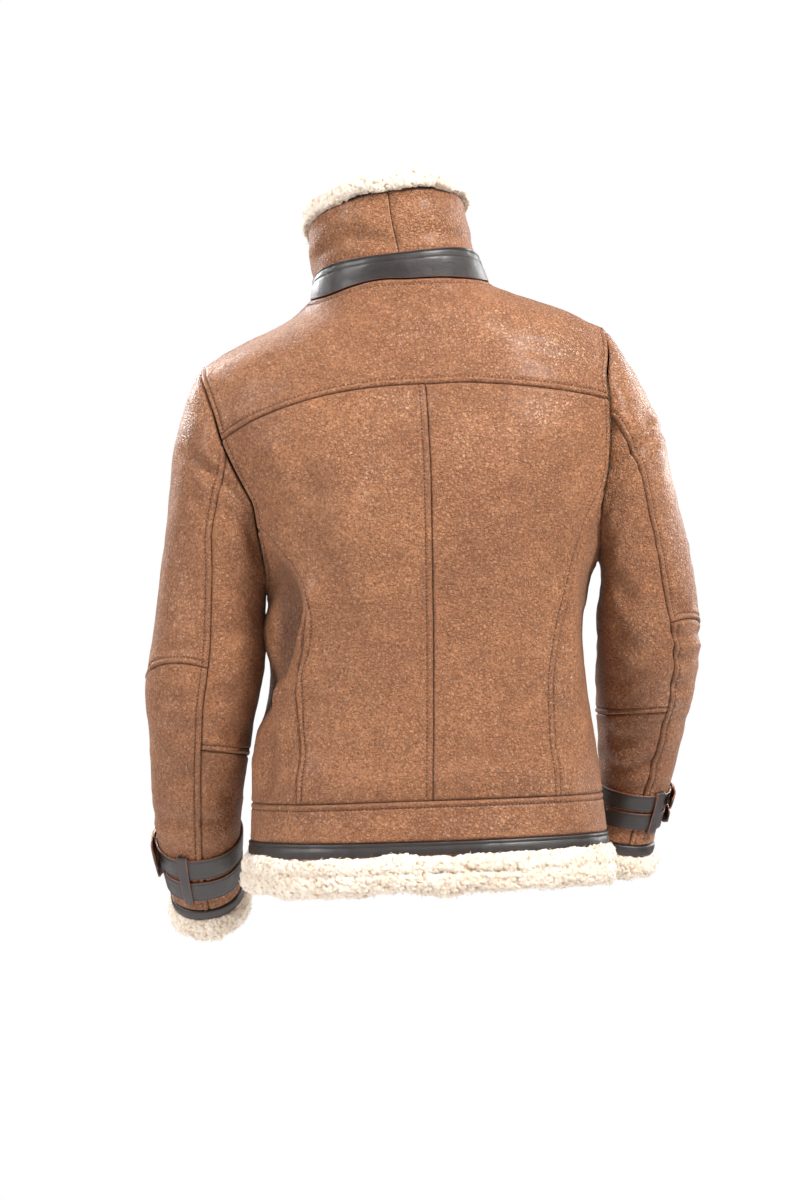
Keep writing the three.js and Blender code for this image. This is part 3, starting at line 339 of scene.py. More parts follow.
def line(w, h, *uv, ends=0.0):
    """a stroke of one width and height that dies out at both ends"""
    n = len(uv)
    return [(u, v, w, h * (ends if i in (0, n - 1) else 1)) for i, (u, v) in enumerate(uv)]

FOLDS = {
    "body_back": [
        # deep fold down the left side, with its banks
        [(263, 545, 10, -1), (276, 576, 15, -9), (288, 610, 15, -13), (289, 650, 12, -12), (282, 685, 9, -8), (270, 715, 8, -4), (262, 750, 8, -1)],
        [(322, 570, 14, 1), (313, 604, 12, 4), (302, 642, 10, 4), (293, 690, 10, 3), (276, 735, 10, 2), (256, 780, 10, 0)],
        [(262, 610, 6, 0), (266, 650, 7, 2.5), (275, 700, 6, 2), (284, 740, 6, 0)],
        line(5, -4, (262, 636), (264, 660), (269, 700), (271, 745), (268, 792), ends=0.4),
        [(309, 618, 6, 0.5), (300, 645, 6, 4.2), (287, 675, 6, 5.6), (274, 703, 6, 5.4), (263, 735, 6, 4.2), (254, 772, 5, 2.0), (251, 796, 5, 0.5)],
        [(290, 590, 8, -1), (285, 625, 9, -6), (276, 656, 8, -8), (265, 684, 7, -7), (256, 716, 6, -4), (251, 750, 5, -1)],
        line(16, -3.2, (300, 430), (309, 480), (314, 535), (309, 590)),
        line(20, -2.0, (352, 620), (345, 680), (356, 745)),
        # right side
        [(598, 545, 8, 0), (590, 585, 11, -5), (588, 630, 10, -6), (592, 690, 8, -3), (598, 740, 8, 0)],
        [(580, 560, 12, 0), (574, 610, 11, 2.4), (568, 670, 12, 1.8), (566, 720, 12, 0)],
        line(4, -3, (592, 611), (595, 655), (597, 700), ends=0.4),
        line(18, -2.2, (546, 440), (538, 520), (546, 600), (540, 660)),
        line(15, -1.6, (476, 640), (480, 700), (474, 750)),
        # blades, hollow between them, and the fullness above the waistband
        line(62, 4.0, (350, 450), (352, 500), ends=1), line(62, 4.0, (515, 450), (512, 500), ends=1),
        line(26, -2.6, (431, 420), (432, 520), (433, 620)),
        line(15, 2.6, (300, 781), (370, 784), (431, 780), (512, 777), (585, 770), ends=0.5),
        line(9, -2.0, (252, 792), (282, 768), (318, 742)), line(9, -1.8, (600, 780), (572, 752), (548, 728)),
        line(8, -1.5, (330, 790), (352, 764), (380, 752)), line(8, -1.3, (505, 786), (488, 762), (462, 750)),
        line(1.8, -0.8, (352, 750), (366, 755), (382, 752)),
        # under the collar and towards the shoulders
        line(11, -1.8, (352, 300), (392, 296), (432, 294), (474, 299)), line(8, -1.3, (300, 318), (330, 312), (362, 316)),
        line(8, -1.5, (520, 318), (556, 326), (598, 344)), line(7, -1.2, (508, 340), (545, 352), (590, 372)),
        line(8, -1.3, (232, 372), (262, 366), (300, 372)), line(10, -1.5, (238, 408), (270, 392), (310, 384)),
        line(9, -2.2, (232, 446), (262, 470), (292, 505)), line(9, -2.4, (603, 440), (582, 462), (560, 498)),
        line(7, -1.4, (604, 405), (584, 412), (556, 428)), line(6, -1.0, (470, 405), (500, 422), (530, 450)),
    ],
    "body_front": [
        [(270, 560, 14, 0), (286, 612, 16, -8), (288, 660, 13, -8), (280, 710, 10, -4), (270, 750, 9, 0)],
        [(588, 560, 12, 0), (578, 610, 14, -6), (576, 670, 12, -5), (588, 730, 10, 0)],
        line(16, -3.0, (330, 430), (340, 510), (332, 600), (345, 690)), line(16, -3.0, (480, 440), (470, 520), (482, 600), (470, 690)),
        line(14, -2.6, (366, 640), (352, 700), (356, 760)), line(14, -2.4, (440, 640), (455, 700), (448, 760)),
        line(15, 2.6, (290, 786), (350, 790), (398, 792), (450, 790), (580, 784), ends=0.5),
        line(10, -2.4, (240, 430), (285, 462), (330, 520)), line(10, -2.4, (596, 424), (550, 462), (505, 520)),
        line(9, -1.8, (300, 340), (330, 372), (352, 420)), line(9, -1.8, (520, 340), (490, 372), (470, 420)),
        line(7, -1.8, (256, 792), (286, 766), (318, 748)), line(7, -1.8, (596, 786), (566, 760), (540, 744)),
        line(40, 3.0, (322, 440), (326, 480), ends=1), line(40, 3.0, (500, 440), (496, 480), ends=1),
    ],
    "left_back": [
        line(5, -3.4, (184, 452), (204, 466), (226, 486), ends=0.5), line(5, -3.6, (226, 482), (240, 497), (254, 514), ends=0.5),
        line(8, -2.8, (226, 508), (246, 527), (262, 552), ends=0.4), line(9, -1.8, (178, 484), (196, 500), (214, 530)),
        line(13, -1.8, (184, 540), (190, 590), (184, 640)), line(11, -1.8, (236, 560), (246, 600), (240, 650)),
        line(7, -2.4, (150, 696), (172, 703), (204, 697)), line(7, -2.2, (208, 686), (230, 694), (254, 682)),
        line(8, -2.0, (152, 654), (176, 649), (206, 641)), line(8, -1.8, (214, 640), (236, 632), (260, 612)),
        line(7, -2.0, (154, 726), (180, 734), (206, 722)), line(8, -2.2, (210, 726), (230, 738), (250, 728)),
        line(8, -2.0, (160, 772), (182, 779), (206, 768)), line(8, -2.0, (208, 790), (228, 798), (244, 786)),
        line(6, -2.6, (160, 814), (184, 824), (212, 822), (240, 808), ends=0.5), line(10, 1.8, (164, 800), (190, 806), (224, 802)),
    ],
    "left_front": [
        line(8, -4.0, (160, 640), (200, 655), (246, 636), ends=0.3), line(7, -3.4, (160, 668), (204, 682), (250, 662), ends=0.3),
        line(7, -3.0, (166, 608), (206, 622), (250, 602), ends=0.3), line(6, -2.6, (162, 698), (200, 708), (246, 694), ends=0.3),
        line(6, -3.0, (186, 440), (214, 470), (236, 512)), line(7, -2.6, (214, 450), (240, 492), (258, 540)),
        line(7, -2.0, (166, 760), (200, 772), (240, 756)), line(6, -2.6, (162, 812), (200, 822), (240, 808)),
        line(12, -2.0, (190, 530), (204, 580), (196, 630)),
    ],
    "right_back": [
        line(6, -4.2, (604, 474), (622, 460), (642, 446), (658, 432), ends=0.5), line(6, -3.6, (602, 508), (618, 486), (634, 470), ends=0.5),
        line(6, -3.0, (604, 540), (622, 514), (640, 494)), line(8, 2.6, (612, 398), (624, 420), (640, 436)),
        line(8, -2.4, (630, 372), (648, 410), (656, 446)), line(12, -1.8, (668, 480), (676, 530), (678, 580)),
        line(9, -2.2, (612, 570), (628, 598), (650, 622)), line(8, -2.2, (602, 612), (622, 640), (652, 660)),
        line(5, -2.8, (668, 630), (684, 640), (700, 634), ends=0.5), line(5, -2.8, (668, 650), (684, 660), (698, 656), ends=0.5),
        line(6, -2.2, (670, 606), (684, 611), (700, 602)), line(6, -2.4, (664, 678), (678, 688), (692, 684)),
        line(7, -2.6, (600, 672), (622, 684), (656, 674)), line(7, -3.0, (600, 728), (622, 742), (652, 740), ends=0.4),
        line(6, -3.2, (602, 760), (624, 772), (650, 764), ends=0.4), line(7, -2.4, (646, 722), (664, 728), (682, 716)),
        line(6, -2.4, (640, 756), (658, 764), (674, 752)), line(6, -2.6, (604, 782), (626, 788), (654, 786)),
    ],
    "right_front": [
        line(8, -4.2, (606, 628), (650, 650), (694, 634), ends=0.3), line(7, -3.6, (604, 656), (648, 678), (690, 664), ends=0.3),
        line(7, -3.0, (610, 600), (650, 618), (694, 602), ends=0.3), line(6, -2.6, (604, 690), (646, 706), (682, 694), ends=0.3),
        line(7, -3.0, (640, 420), (624, 460), (608, 510)), line(7, -2.6, (662, 440), (644, 490), (616, 540)),
        line(7, -2.4, (608, 740), (640, 752), (672, 740)), line(6, -2.8, (606, 776), (634, 784), (660, 780)),
        line(12, -2.0, (672, 500), (684, 550), (686, 600)),
    ],
    "collar_back": [
        line(7, -2.4, (316, 246), (342, 236), (372, 238), (396, 246), ends=0.3), line(6, -1.6, (404, 240), (432, 232), (462, 236), ends=0.3),
        line(5, -2.0, (312, 262), (324, 250), (340, 244), ends=0.4), line(5, -1.8, (474, 246), (462, 238), (446, 236), ends=0.4),
        line(9, 1.6, (330, 216), (360, 214), (390, 216)), line(9, 1.6, (402, 214), (430, 212), (456, 220)),
        line(3.5, -1.2, (390, 196), (393, 215), (396, 246), ends=0.6), line(5, -1.4, (352, 210), (358, 226), (354, 246)),
        line(5, -1.4, (436, 206), (432, 222), (438, 240)),
    ],
    "collar_front": [
        line(7, -2.2, (330, 250), (360, 262), (392, 262)), line(7, -2.2, (408, 262), (440, 258), (470, 246)),
        line(6, -1.6, (336, 220), (362, 230), (388, 232)), line(6, -1.6, (412, 232), (440, 226), (462, 216)),
    ],
}
ARM_LINES = {s: body(*armhole(s, np.linspace(0, 360, 900))) for s in ("left", "right")}
ARM_TREE_POINTS = np.concatenate([ARM_LINES["left"], ARM_LINES["right"]])
NECK_LINE = body(*neck_point(np.linspace(0, TURN, 900)))

DEPTH = {"body": 1.3, "left": 1.7, "right": 1.6, "collar": 1.5}
def drawn(kind, P, N):
    """height of the drawn folds, each set on the side that it is drawn on"""
    U, V = seen(P)
    out = np.zeros(P.shape[:-1])
    for face, w in (("back", smooth(N[..., 1], -0.22, 0.18)), ("front", smooth(-N[..., 1], -0.22, 0.18))):
        if w.max() > 0:
            out += w * sum(stroke(U, V, s) for s in FOLDS[f"{kind}_{face}"]) * DEPTH[kind]
    return out

class Form:
    """A surface f(a, b) with its outward normal and the folds that lie on it."""
    def __init__(self, f, steps, sign, relief):
        self.f, self.steps, self.sign, self.relief_of = f, steps, sign, relief

    def normal(self, a, b):
        return self.sign * normal_of(self.f, a, b, *self.steps)

    def at(self, a, b, n=0.0, folds=True, share=1.0):
        P, N = self.f(a, b), self.normal(a, b)
        r = self.relief_of(P, N, a, b) * share if folds else 0.0
        return P + N * (n + r)[..., None] if np.ndim(n + r) else P + N * (n + r)

    def solve(self, target, a, b, rounds=4):
        """the place on the surface nearest each target, from a first guess"""
        ha, hb = self.steps
        for _ in range(rounds):
            R = target - self.f(a, b)
            A = (self.f(a + ha, b) - self.f(a - ha, b)) / (2 * ha)
            B = (self.f(a, b + hb) - self.f(a, b - hb)) / (2 * hb)
            aa, ab, bb = (A * A).sum(-1), (A * B).sum(-1), (B * B).sum(-1)
            ra, rb = (A * R).sum(-1), (B * R).sum(-1)
            det = np.maximum(aa * bb - ab * ab, 1e-9)
            a, b = a + (ra * bb - rb * ab) / det, b + (rb * aa - ra * ab) / det
        return a, b

def uneven(P, seed, k=1.0):
    return k * (noise(P, 74, seed) * 1.5 + noise(P, 31, seed + 1) * 0.75 + noise(P, 15, seed + 2) * 0.28)

def body_relief(P, N, a, b):
    r = drawn("body", P, N) + uneven(P, 11)
    fade = np.ones(P.shape[:-1])
    up = P[..., 2] > -380
    if up.any():
        fade[up] = smooth(nearest(ARM_TREE_POINTS, P[up]), 0, 26) * (0.15 + 0.85 * smooth(nearest(NECK_LINE, P[up]), 0, 26))
    return r * fade

def sleeve_relief(side):
    kind, seed = side, 21 if side == "left" else 31
    def relief(P, N, a, b):
        t = np.broadcast_to(b, P.shape[:-1])
        wave = noise(P * np.array([1, 1, 2.2]), 26, seed + 5) * 0.9
        return (drawn(kind, P, N) + uneven(P, seed, 0.9) + wave) * smooth(t, 0, 22) * (1 - 0.75 * smooth(t, LEN[side]["straps"][0][0] - 16, LEN[side]["straps"][0][0] + 4))
    return relief

def collar_relief(P, N, a, b):
    h = np.broadcast_to(b, P.shape[:-1])
    return (drawn("collar", P, N) + uneven(P, 41, 0.7)) * smooth(h, 0.12, 0.36) * (1 - 0.5 * smooth(h, 0.85, 1.0))

FORM = {
    "body": Form(body, (1e-3, 0.5), 1, body_relief),
    "left": Form(lambda a, b: sleeve("left", a, b), (0.05, 0.5), -1, sleeve_relief("left")),
    "right": Form(lambda a, b: sleeve("right", a, b), (0.05, 0.5), 1, sleeve_relief("right")),
    "collar": Form(collar, (1e-3, 0.004), 1, collar_relief),
}

# ------------------------------------------------------------------- mesh building
MATERIALS = {}

def build(name, verts, faces, looks, replaces=(), which=None, smooth_faces=None, fields=None, body_name="jacket"):
    """faces: list of arrays, one row per face. looks: material keys; which: material number per face."""
    verts = np.asarray(verts, float) / 1000.0
    mesh = bpy.data.meshes.new(name)
    sizes = np.concatenate([np.full(len(f), f.shape[1]) for f in faces])
    loops = np.concatenate([f.reshape(-1) for f in faces]).astype(np.int32)
    mesh.vertices.add(len(verts))
    mesh.vertices.foreach_set("co", verts.reshape(-1).astype(np.float32))
    mesh.loops.add(len(loops))
    mesh.loops.foreach_set("vertex_index", loops)
    mesh.polygons.add(len(sizes))
    mesh.polygons.foreach_set("loop_start", np.concatenate([[0], np.cumsum(sizes)[:-1]]).astype(np.int32))
    if which is not None:
        mesh.polygons.foreach_set("material_index", np.asarray(which, np.int32))
    sm = np.ones(len(sizes), bool) if smooth_faces is None else np.asarray(smooth_faces, bool)
    mesh.update(calc_edges=True)
    mesh.polygons.foreach_set("use_smooth", sm)
    for key, values in (fields or {}).items():
        att = mesh.attributes.new(key, "FLOAT", "POINT")
        att.data.foreach_set("value", np.asarray(values, np.float32).reshape(-1))
    mesh.validate()
    mesh.update()
    obj = bpy.data.objects.new(name, mesh)
    bpy.context.scene.collection.objects.link(obj)
    for look in looks:
        mesh.materials.append(MATERIALS[look])
    if replaces:
        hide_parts(*replaces)
    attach(obj, body_name)
    return obj

FINE = [0, 0.45, 1.0, 1.7, 2.6, 3.7, 4.9, 5.8, 6.5, 7.1, 7.8, 8.8, 10.4, 13, 17]
def graded(length, first=True, last=True, step=6.2):
    """places along a length, close together near seams"""
    a = FINE if first else [0]
    b = FINE if last else [0]
    if length < a[-1] + b[-1] + 1:
        k = max(8, int(round(length / 1.2)))
        return np.linspace(0, length, k + 1)
    n = max(1, int(math.ceil((length - a[-1] - b[-1]) / step)))
    mid = np.linspace(a[-1], length - b[-1], n + 1)
    return np.concatenate([a, mid[1:-1], length - np.array(b[::-1])])

def seam_height(kind, d):
    if kind == "over":    # this piece laps its neighbour: a full ridge, then the stitched hollow
        return -1.3 * bell(d, 0, 0.9) + 1.35 * bell(d, 3.5, 2.1) - 0.8 * bell(d, 7.1, 1.1) + 0.6 * bell(d, 10.5, 2.8)
    if kind == "under":
        return -1.7 * bell(d, 0, 1.5) + 0.4 * bell(d, 5.5, 3.2)
    if kind == "edge":    # turned edge
        return -1.4 * bell(d, 0, 1.2) + 0.5 * bell(d, 3, 2.2) - 0.8 * bell(d, 8, 1.0)
    return -1.2 * bell(d, 0, 1.3) + 0.5 * bell(d, 4.2, 3)

STITCH_AT = {"over": 7.1, "edge": 8.0}
STITCHES = []
ALLOWANCE_SHADE = []

class Panel:
    """A leather piece: param(u, v) gives a place on its form; edges carry their seams."""
    def __init__(self, name, form, param, edges, wall=WALL, counts=(1, 1), sheet=None, step=6.2):
        self.name, self.form, self.param, self.wall = name, FORM[form], param, wall
        s = np.linspace(0, 1, 700)
        ends = {"left": (0 * s, s), "right": (0 * s + 1, s), "bottom": (s, 0 * s), "top": (s, 0 * s + 1)}
        lines = {k: self.form.f(*param(*uv)) for k, uv in ends.items()}
        run = {k: np.concatenate([[0], np.cumsum(np.linalg.norm(np.diff(p, axis=0), axis=1))]) for k, p in lines.items()}
        along_v, along_u = (run["left"] + run["right"]) / 2, (run["bottom"] + run["top"]) / 2
        v = np.interp(graded(along_v[-1], step=step), along_v, s)
        u = np.interp(graded(along_u[-1], step=step), along_u, s)
        V, U = np.meshgrid(v, u, indexing="ij")
        A, B = param(U, V)
        A, B = np.array(A, float), np.array(B, float)
        P0 = self.form.f(A, B)
        # the rim stops short of the seam line
        for sl, nx in (((0, slice(None)), (1, slice(None))), ((-1, slice(None)), (-2, slice(None))),
                       ((slice(None), 0), (slice(None), 1)), ((slice(None), -1), (slice(None), -2))):
            d = np.maximum(np.linalg.norm(P0[sl] - P0[nx], axis=-1), 1e-6)
            g = np.minimum(GAP / d, 0.7)
            A[sl] += (A[nx] - A[sl]) * g
            B[sl] += (B[nx] - B[sl]) * g
        self.seams = []
        for side, parts in edges.items():
            for s0, s1, kind in parts:
                m = (s >= s0 - 1e-9) & (s <= s1 + 1e-9)
                n = max(60, int((run[side][m][-1] - run[side][m][0]) / 0.7))
                t = np.linspace(s0, s1, n)
                uv = {"left": (0 * t, t), "right": (0 * t + 1, t), "bottom": (t, 0 * t), "top": (t, 0 * t + 1)}[side]
                a, b = param(*uv)
                self.seams.append(dict(kind=kind, a=a, b=b, pts=self.form.f(a, b), side=side))
        P, N = self.form.f(A, B), self.form.normal(A, B)
        H, painted_seam_shade, near_seam = self.relief(P, N, A, B)
        outer = P + N * H[..., None]
        # the inner face keeps the wall's thickness, on fewer points
        R, C = A.shape
        ri, ci = self.thin(R), self.thin(C)
        low = self.base.copy()
        for k in range(4):    # the lowest place nearby, so that a sharp fold never shows the lining
            pad = np.pad(low, 1, mode="edge")
            low = np.minimum.reduce([pad[1:-1, 1:-1], pad[:-2, 1:-1], pad[2:, 1:-1], pad[1:-1, :-2], pad[1:-1, 2:]])
        drop = np.clip(self.base - low - 1.5, 0, 7)
        inner = (P + N * (self.base - drop - wall - 0.4)[..., None])[np.ix_(ri, ci)]
        verts = np.concatenate([outer.reshape(-1, 3), inner.reshape(-1, 3)])
        at = np.arange(R * C).reshape(R, C)
        it = R * C + np.arange(len(ri) * len(ci)).reshape(len(ri), len(ci))
        quads = np.stack([at[:-1, :-1], at[:-1, 1:], at[1:, 1:], at[1:, :-1]], -1).reshape(-1, 4)
        inq = np.stack([it[:-1, :-1], it[1:, :-1], it[1:, 1:], it[:-1, 1:]], -1).reshape(-1, 4)
        rims = []
        for (o, i, idx, flip) in ((at[0], it[0], ci, True), (at[-1], it[-1], ci, False), (at[:, 0], it[:, 0], ri, False), (at[:, -1], it[:, -1], ri, True)):
            for k in range(len(idx) - 1):
                run_o = list(o[idx[k]:idx[k + 1] + 1])
                # a strip of triangles between the close outer points and the wide inner ones
                half = len(run_o) // 2
                for j in range(len(run_o) - 1):
                    tri = (run_o[j], run_o[j + 1], i[k] if j < half else i[k + 1])
                    rims.append(tri if not flip else tri[::-1])
                tri = (run_o[half], i[k + 1], i[k])
                rims.append(tri if not flip else tri[::-1])
        rims = np.array(rims)
        # turn everything outward
        f = quads[(R // 2) * (C - 1) + C // 2]
        way = np.dot(np.cross(verts[f[1]] - verts[f[0]], verts[f[2]] - verts[f[0]]), N[R // 2, C // 2])
        if way < 0:
            quads, inq, rims = quads[:, ::-1], inq[:, ::-1], rims[:, ::-1]
        self.A, self.B, self.P = A, B, P
        zero = np.zeros(len(ri) * len(ci))
        which = np.concatenate([np.zeros(len(quads)), np.ones(len(inq)), np.zeros(len(rims))])
        sm = np.concatenate([np.ones(len(quads)), np.ones(len(inq)), np.zeros(len(rims))])
        gl = gloss(P, N)
        fields = {"line": np.concatenate([painted_seam_shade.reshape(-1), zero]), "near": np.concatenate([near_seam.reshape(-1), zero]),
                  "gloss": np.concatenate([gl.reshape(-1), zero]), "hollow": np.concatenate([self.base.reshape(-1), zero])}
        self.obj = build(name, verts, [quads, inq, rims], ["tan", "wool"], [name], which, sm, fields)
        self.rows, self.cols = along_v[-1], along_u[-1]
        q = outer
        e1, e2 = np.diff(q, axis=0)[:, :-1], np.diff(q, axis=1)[:-1]
        self.area = np.linalg.norm(np.cross(e1, e2), axis=-1).sum()
        self.stitch()
        # the turned-in allowance behind each seam, in the near-black leather so that the seam gaps show dark: painted
        # shade
        for s in self.seams:
            if s["kind"] == "edge":
                continue
            pts = s["pts"]
            L = np.concatenate([[0], np.cumsum(np.linalg.norm(np.diff(pts, axis=0), axis=1))])
            if L[-1] < 6:
                continue
            at_l = np.linspace(0, L[-1], max(3, int(L[-1] / 6)))
            a, b = np.interp(at_l, L, s["a"]), np.interp(at_l, L, s["b"])
            P1, N1 = self.form.f(a, b), self.form.normal(a, b)
            T1 = unit(np.gradient(P1, axis=0))
            H1 = self.form.relief_of(P1, N1, a, b)
            ALLOWANCE_SHADE.append((P1, T1, unit(np.cross(N1, T1)), N1, H1))

    @staticmethod
    def thin(n):
        keep = list(range(0, n, 4))
        if keep[-1] != n - 1:
            keep.append(n - 1)
        return np.array(keep)

    def relief(self, P, N, A, B):
        base = self.form.relief_of(P, N, A, B)
        H, dark, near = np.zeros(P.shape[:-1]), np.zeros(P.shape[:-1]), np.full(P.shape[:-1], 99.0)
        for kind in {s["kind"] for s in self.seams}:
            d = nearest(np.concatenate([s["pts"] for s in self.seams if s["kind"] == kind]), P)
            H += seam_height(kind, d)
            # painted shade: the seam lines, and more faintly the stitched hollows, are darkened in the colour
            dark = np.maximum(dark, 0.75 * bell(d, 0, 0.8))
            if kind in STITCH_AT:
                dark = np.maximum(dark, 0.22 * bell(d, STITCH_AT[kind], 0.8))
            near = np.minimum(near, d)
        pucker = (noise(P, 12, 61) * 0.55 + noise(P, 6.5, 62) * 0.3) * np.exp(-near / 13) * smooth(near, 0.5, 3)
        self.base = base
        return base + np.maximum(H, -2.4) + pucker, dark, np.exp(-near / 9)

    def stitch(self, pitch=4.3, length=2.9):
        """thread ends along each stitched seam"""
        tree_pts = self.P.reshape(-1, 3)[::3]
        for s in self.seams:
            if s["kind"] not in STITCH_AT:
                continue
            pts = s["pts"]
            L = np.concatenate([[0], np.cumsum(np.linalg.norm(np.diff(pts, axis=0), axis=1))])
            if L[-1] < 12:
                continue
            at = np.arange(2.0, L[-1] - 2.0, pitch)
            a, b = np.interp(at, L, s["a"]), np.interp(at, L, s["b"])
            P, N = self.form.f(a, b), self.form.normal(a, b)
            T = unit(np.stack([np.interp(at + 0.8, L, pts[:, i]) - np.interp(at - 0.8, L, pts[:, i]) for i in range(3)], -1))
            side = unit(np.cross(N, T))
            d0 = STITCH_AT[s["kind"]]
            one, two = nearest(tree_pts, P + side * d0).mean(), nearest(tree_pts, P - side * d0).mean()
            target = P + side * (d0 if one < two else -d0)
            a, b = self.form.solve(target, a, b)
            P, N = self.form.f(a, b), self.form.normal(a, b)
            keep = np.ones(len(at), bool)
            for o in self.seams:
                keep &= nearest(o["pts"], P) > (d0 - 1.2 if o is s else 2.2)
            if keep.sum() < 3:
                continue
            H, _, _ = self.relief(P[keep], N[keep], a[keep], b[keep])
            STITCHES.append((P[keep] + N[keep] * (H + 0.12)[:, None], T[keep], N[keep], length))

# ---------------------------------------------------------- where the hide is shiny, and where highlights are painted into its colour
SHINE = [  # back: u, v, half width, half height, lean in degrees, strength
    (566, 345, 34, 22, 20, 1.0), (520, 330, 40, 24, 10, 0.6), (548, 412, 46, 15, -25, 0.8), (400, 404, 30, 16, 0, 0.7), (372, 470, 22, 60, 8, 0.45),
    (470, 440, 34, 50, 0, 0.35), (300, 344, 36, 20, -20, 0.45), (430, 325, 60, 22, 0, 0.4), (440, 224, 22, 18, 0, 0.8),
    (346, 218, 22, 14, -20, 0.35), (646, 408, 15, 44, -12, 1.0), (626, 372, 12, 26, -25, 0.9), (676, 540, 10, 62, -4, 0.5), (668, 462, 10, 40, -10, 0.7),
    (672, 700, 14, 30, 8, 0.7), (176, 560, 9, 90, 0, 0.6), (190, 420, 10, 30, 25, 0.6), (162, 720, 9, 50, 0, 0.5),
    (556, 790, 40, 20, 0, 0.6), (500, 822, 70, 12, 0, 0.5), (560, 690, 14, 70, 0, 0.45), (330, 820, 60, 12, 0, 0.25), (236, 500, 10, 20, 30, 0.5),
    (300, 590, 14, 40, 20, 0.5), (640, 640, 12, 30, 20, 0.5), (620, 740, 18, 24, 0, 0.6),
]
# the mask lowers the roughness and also lays painted glints into the tan colour
def gloss(P, N):
    U, V = seen(P)
    out = np.zeros(P.shape[:-1])
    back = smooth(N[..., 1], -0.1, 0.2)
    for u, v, a, b, lean, k in SHINE:
        c, s = math.cos(math.radians(lean)), math.sin(math.radians(lean))
        x, y = (U - u) * c + (V - v) * s, -(U - u) * s + (V - v) * c
        out = np.maximum(out, k * np.exp(-((x / a) ** 2 + (y / b) ** 2)))
    wander = 0.5 + 0.5 * noise(P, 55, 71)
    return np.clip(out * back + (1 - back) * smooth(wander, 0.55, 0.9) * 0.7 + 0.12 * wander, 0, 1)

# ----------------------------------------------------------------------- materials
def srgb(r, g, b):
    f = lambda c: (c / 255 / 12.92) if c <= 10.3 else ((c / 255 + 0.055) / 1.055) ** 2.4
    return (f(r), f(g), f(b), 1.0)

class Nodes:
    def __init__(self, name):
        self.mat = bpy.data.materials.new(name)
        self.mat.use_nodes = True
        self.t = self.mat.node_tree
        self.t.nodes.clear()
        self.out = self.t.nodes.new("ShaderNodeOutputMaterial")
        self.shader = self.t.nodes.new("ShaderNodeBsdfPrincipled")
        self.t.links.new(self.shader.outputs[0], self.out.inputs["Surface"])
        self.coords = self.t.nodes.new("ShaderNodeTexCoord").outputs["Object"]

    def put(self, node, key, value):
        if isinstance(value, bpy.types.NodeSocket):
            self.t.links.new(value, node.inputs[key])
        else:
            node.inputs[key].default_value = value

    def set(self, **kw):
        for k, v in kw.items():
            self.put(self.shader, k.replace("_", " "), v)

    def noise(self, scale, detail=3.0, rough=0.55, distort=0.0, vector=None):
        n = self.t.nodes.new("ShaderNodeTexNoise")
        self.put(n, "Vector", vector or self.coords)
        for k, v in (("Scale", scale), ("Detail", detail), ("Roughness", rough), ("Distortion", distort)):
            self.put(n, k, v)
        return n.outputs["Fac"]

    def voronoi(self, scale, feature="F1", vector=None, random=1.0):
        n = self.t.nodes.new("ShaderNodeTexVoronoi")
        n.feature = feature
        self.put(n, "Vector", vector or self.coords)
        self.put(n, "Scale", scale)
        self.put(n, "Randomness", random)
        return n.outputs["Distance"]

    def bent(self, scale, amount):
        """coordinates pushed about by a noise"""
        n = self.t.nodes.new("ShaderNodeTexNoise")
        self.put(n, "Vector", self.coords)
        self.put(n, "Scale", scale)
        self.put(n, "Detail", 2.0)
        m = self.t.nodes.new("ShaderNodeVectorMath")
        m.operation = "MULTIPLY_ADD"
        self.put(m, 0, n.outputs["Color"])
        m.inputs[1].default_value = (amount,) * 3
        self.put(m, 2, self.coords)
        return m.outputs[0]

    def ramp(self, value, *stops):
        """piecewise linear through (in, out)"""
        n = self.t.nodes.new("ShaderNodeMapRange")
        (a, p), (b, q) = stops
        n.clamp = True
        n.interpolation_type = "SMOOTHSTEP"
        self.put(n, "Value", value)
        for k, v in (("From Min", a), ("From Max", b), ("To Min", p), ("To Max", q)):
            n.inputs[k].default_value = v
        return n.outputs["Result"]

    def math(self, op, a, b=0.0, c=0.0, clamp=False):
        n = self.t.nodes.new("ShaderNodeMath")
        n.operation, n.use_clamp = op, clamp
        self.put(n, 0, a)
        self.put(n, 1, b)
        self.put(n, 2, c)
        return n.outputs[0]

    def mix(self, fac, a, b, kind="MIX"):
        n = self.t.nodes.new("ShaderNodeMix")
        n.data_type, n.blend_type = "RGBA", kind
        self.put(n, 0, fac)
        self.put(n, 6, a)
        self.put(n, 7, b)
        return n.outputs[2]

    def field(self, name):
        n = self.t.nodes.new("ShaderNodeAttribute")
        n.attribute_name = name
        return n.outputs["Fac"]

    def bump(self, height, distance, strength=1.0, after=None):
        n = self.t.nodes.new("ShaderNodeBump")
        n.inputs["Strength"].default_value = strength
        n.inputs["Distance"].default_value = distance
        self.put(n, "Height", height)
        if after is not None:
            self.put(n, "Normal", after)
        return n.outputs[0]

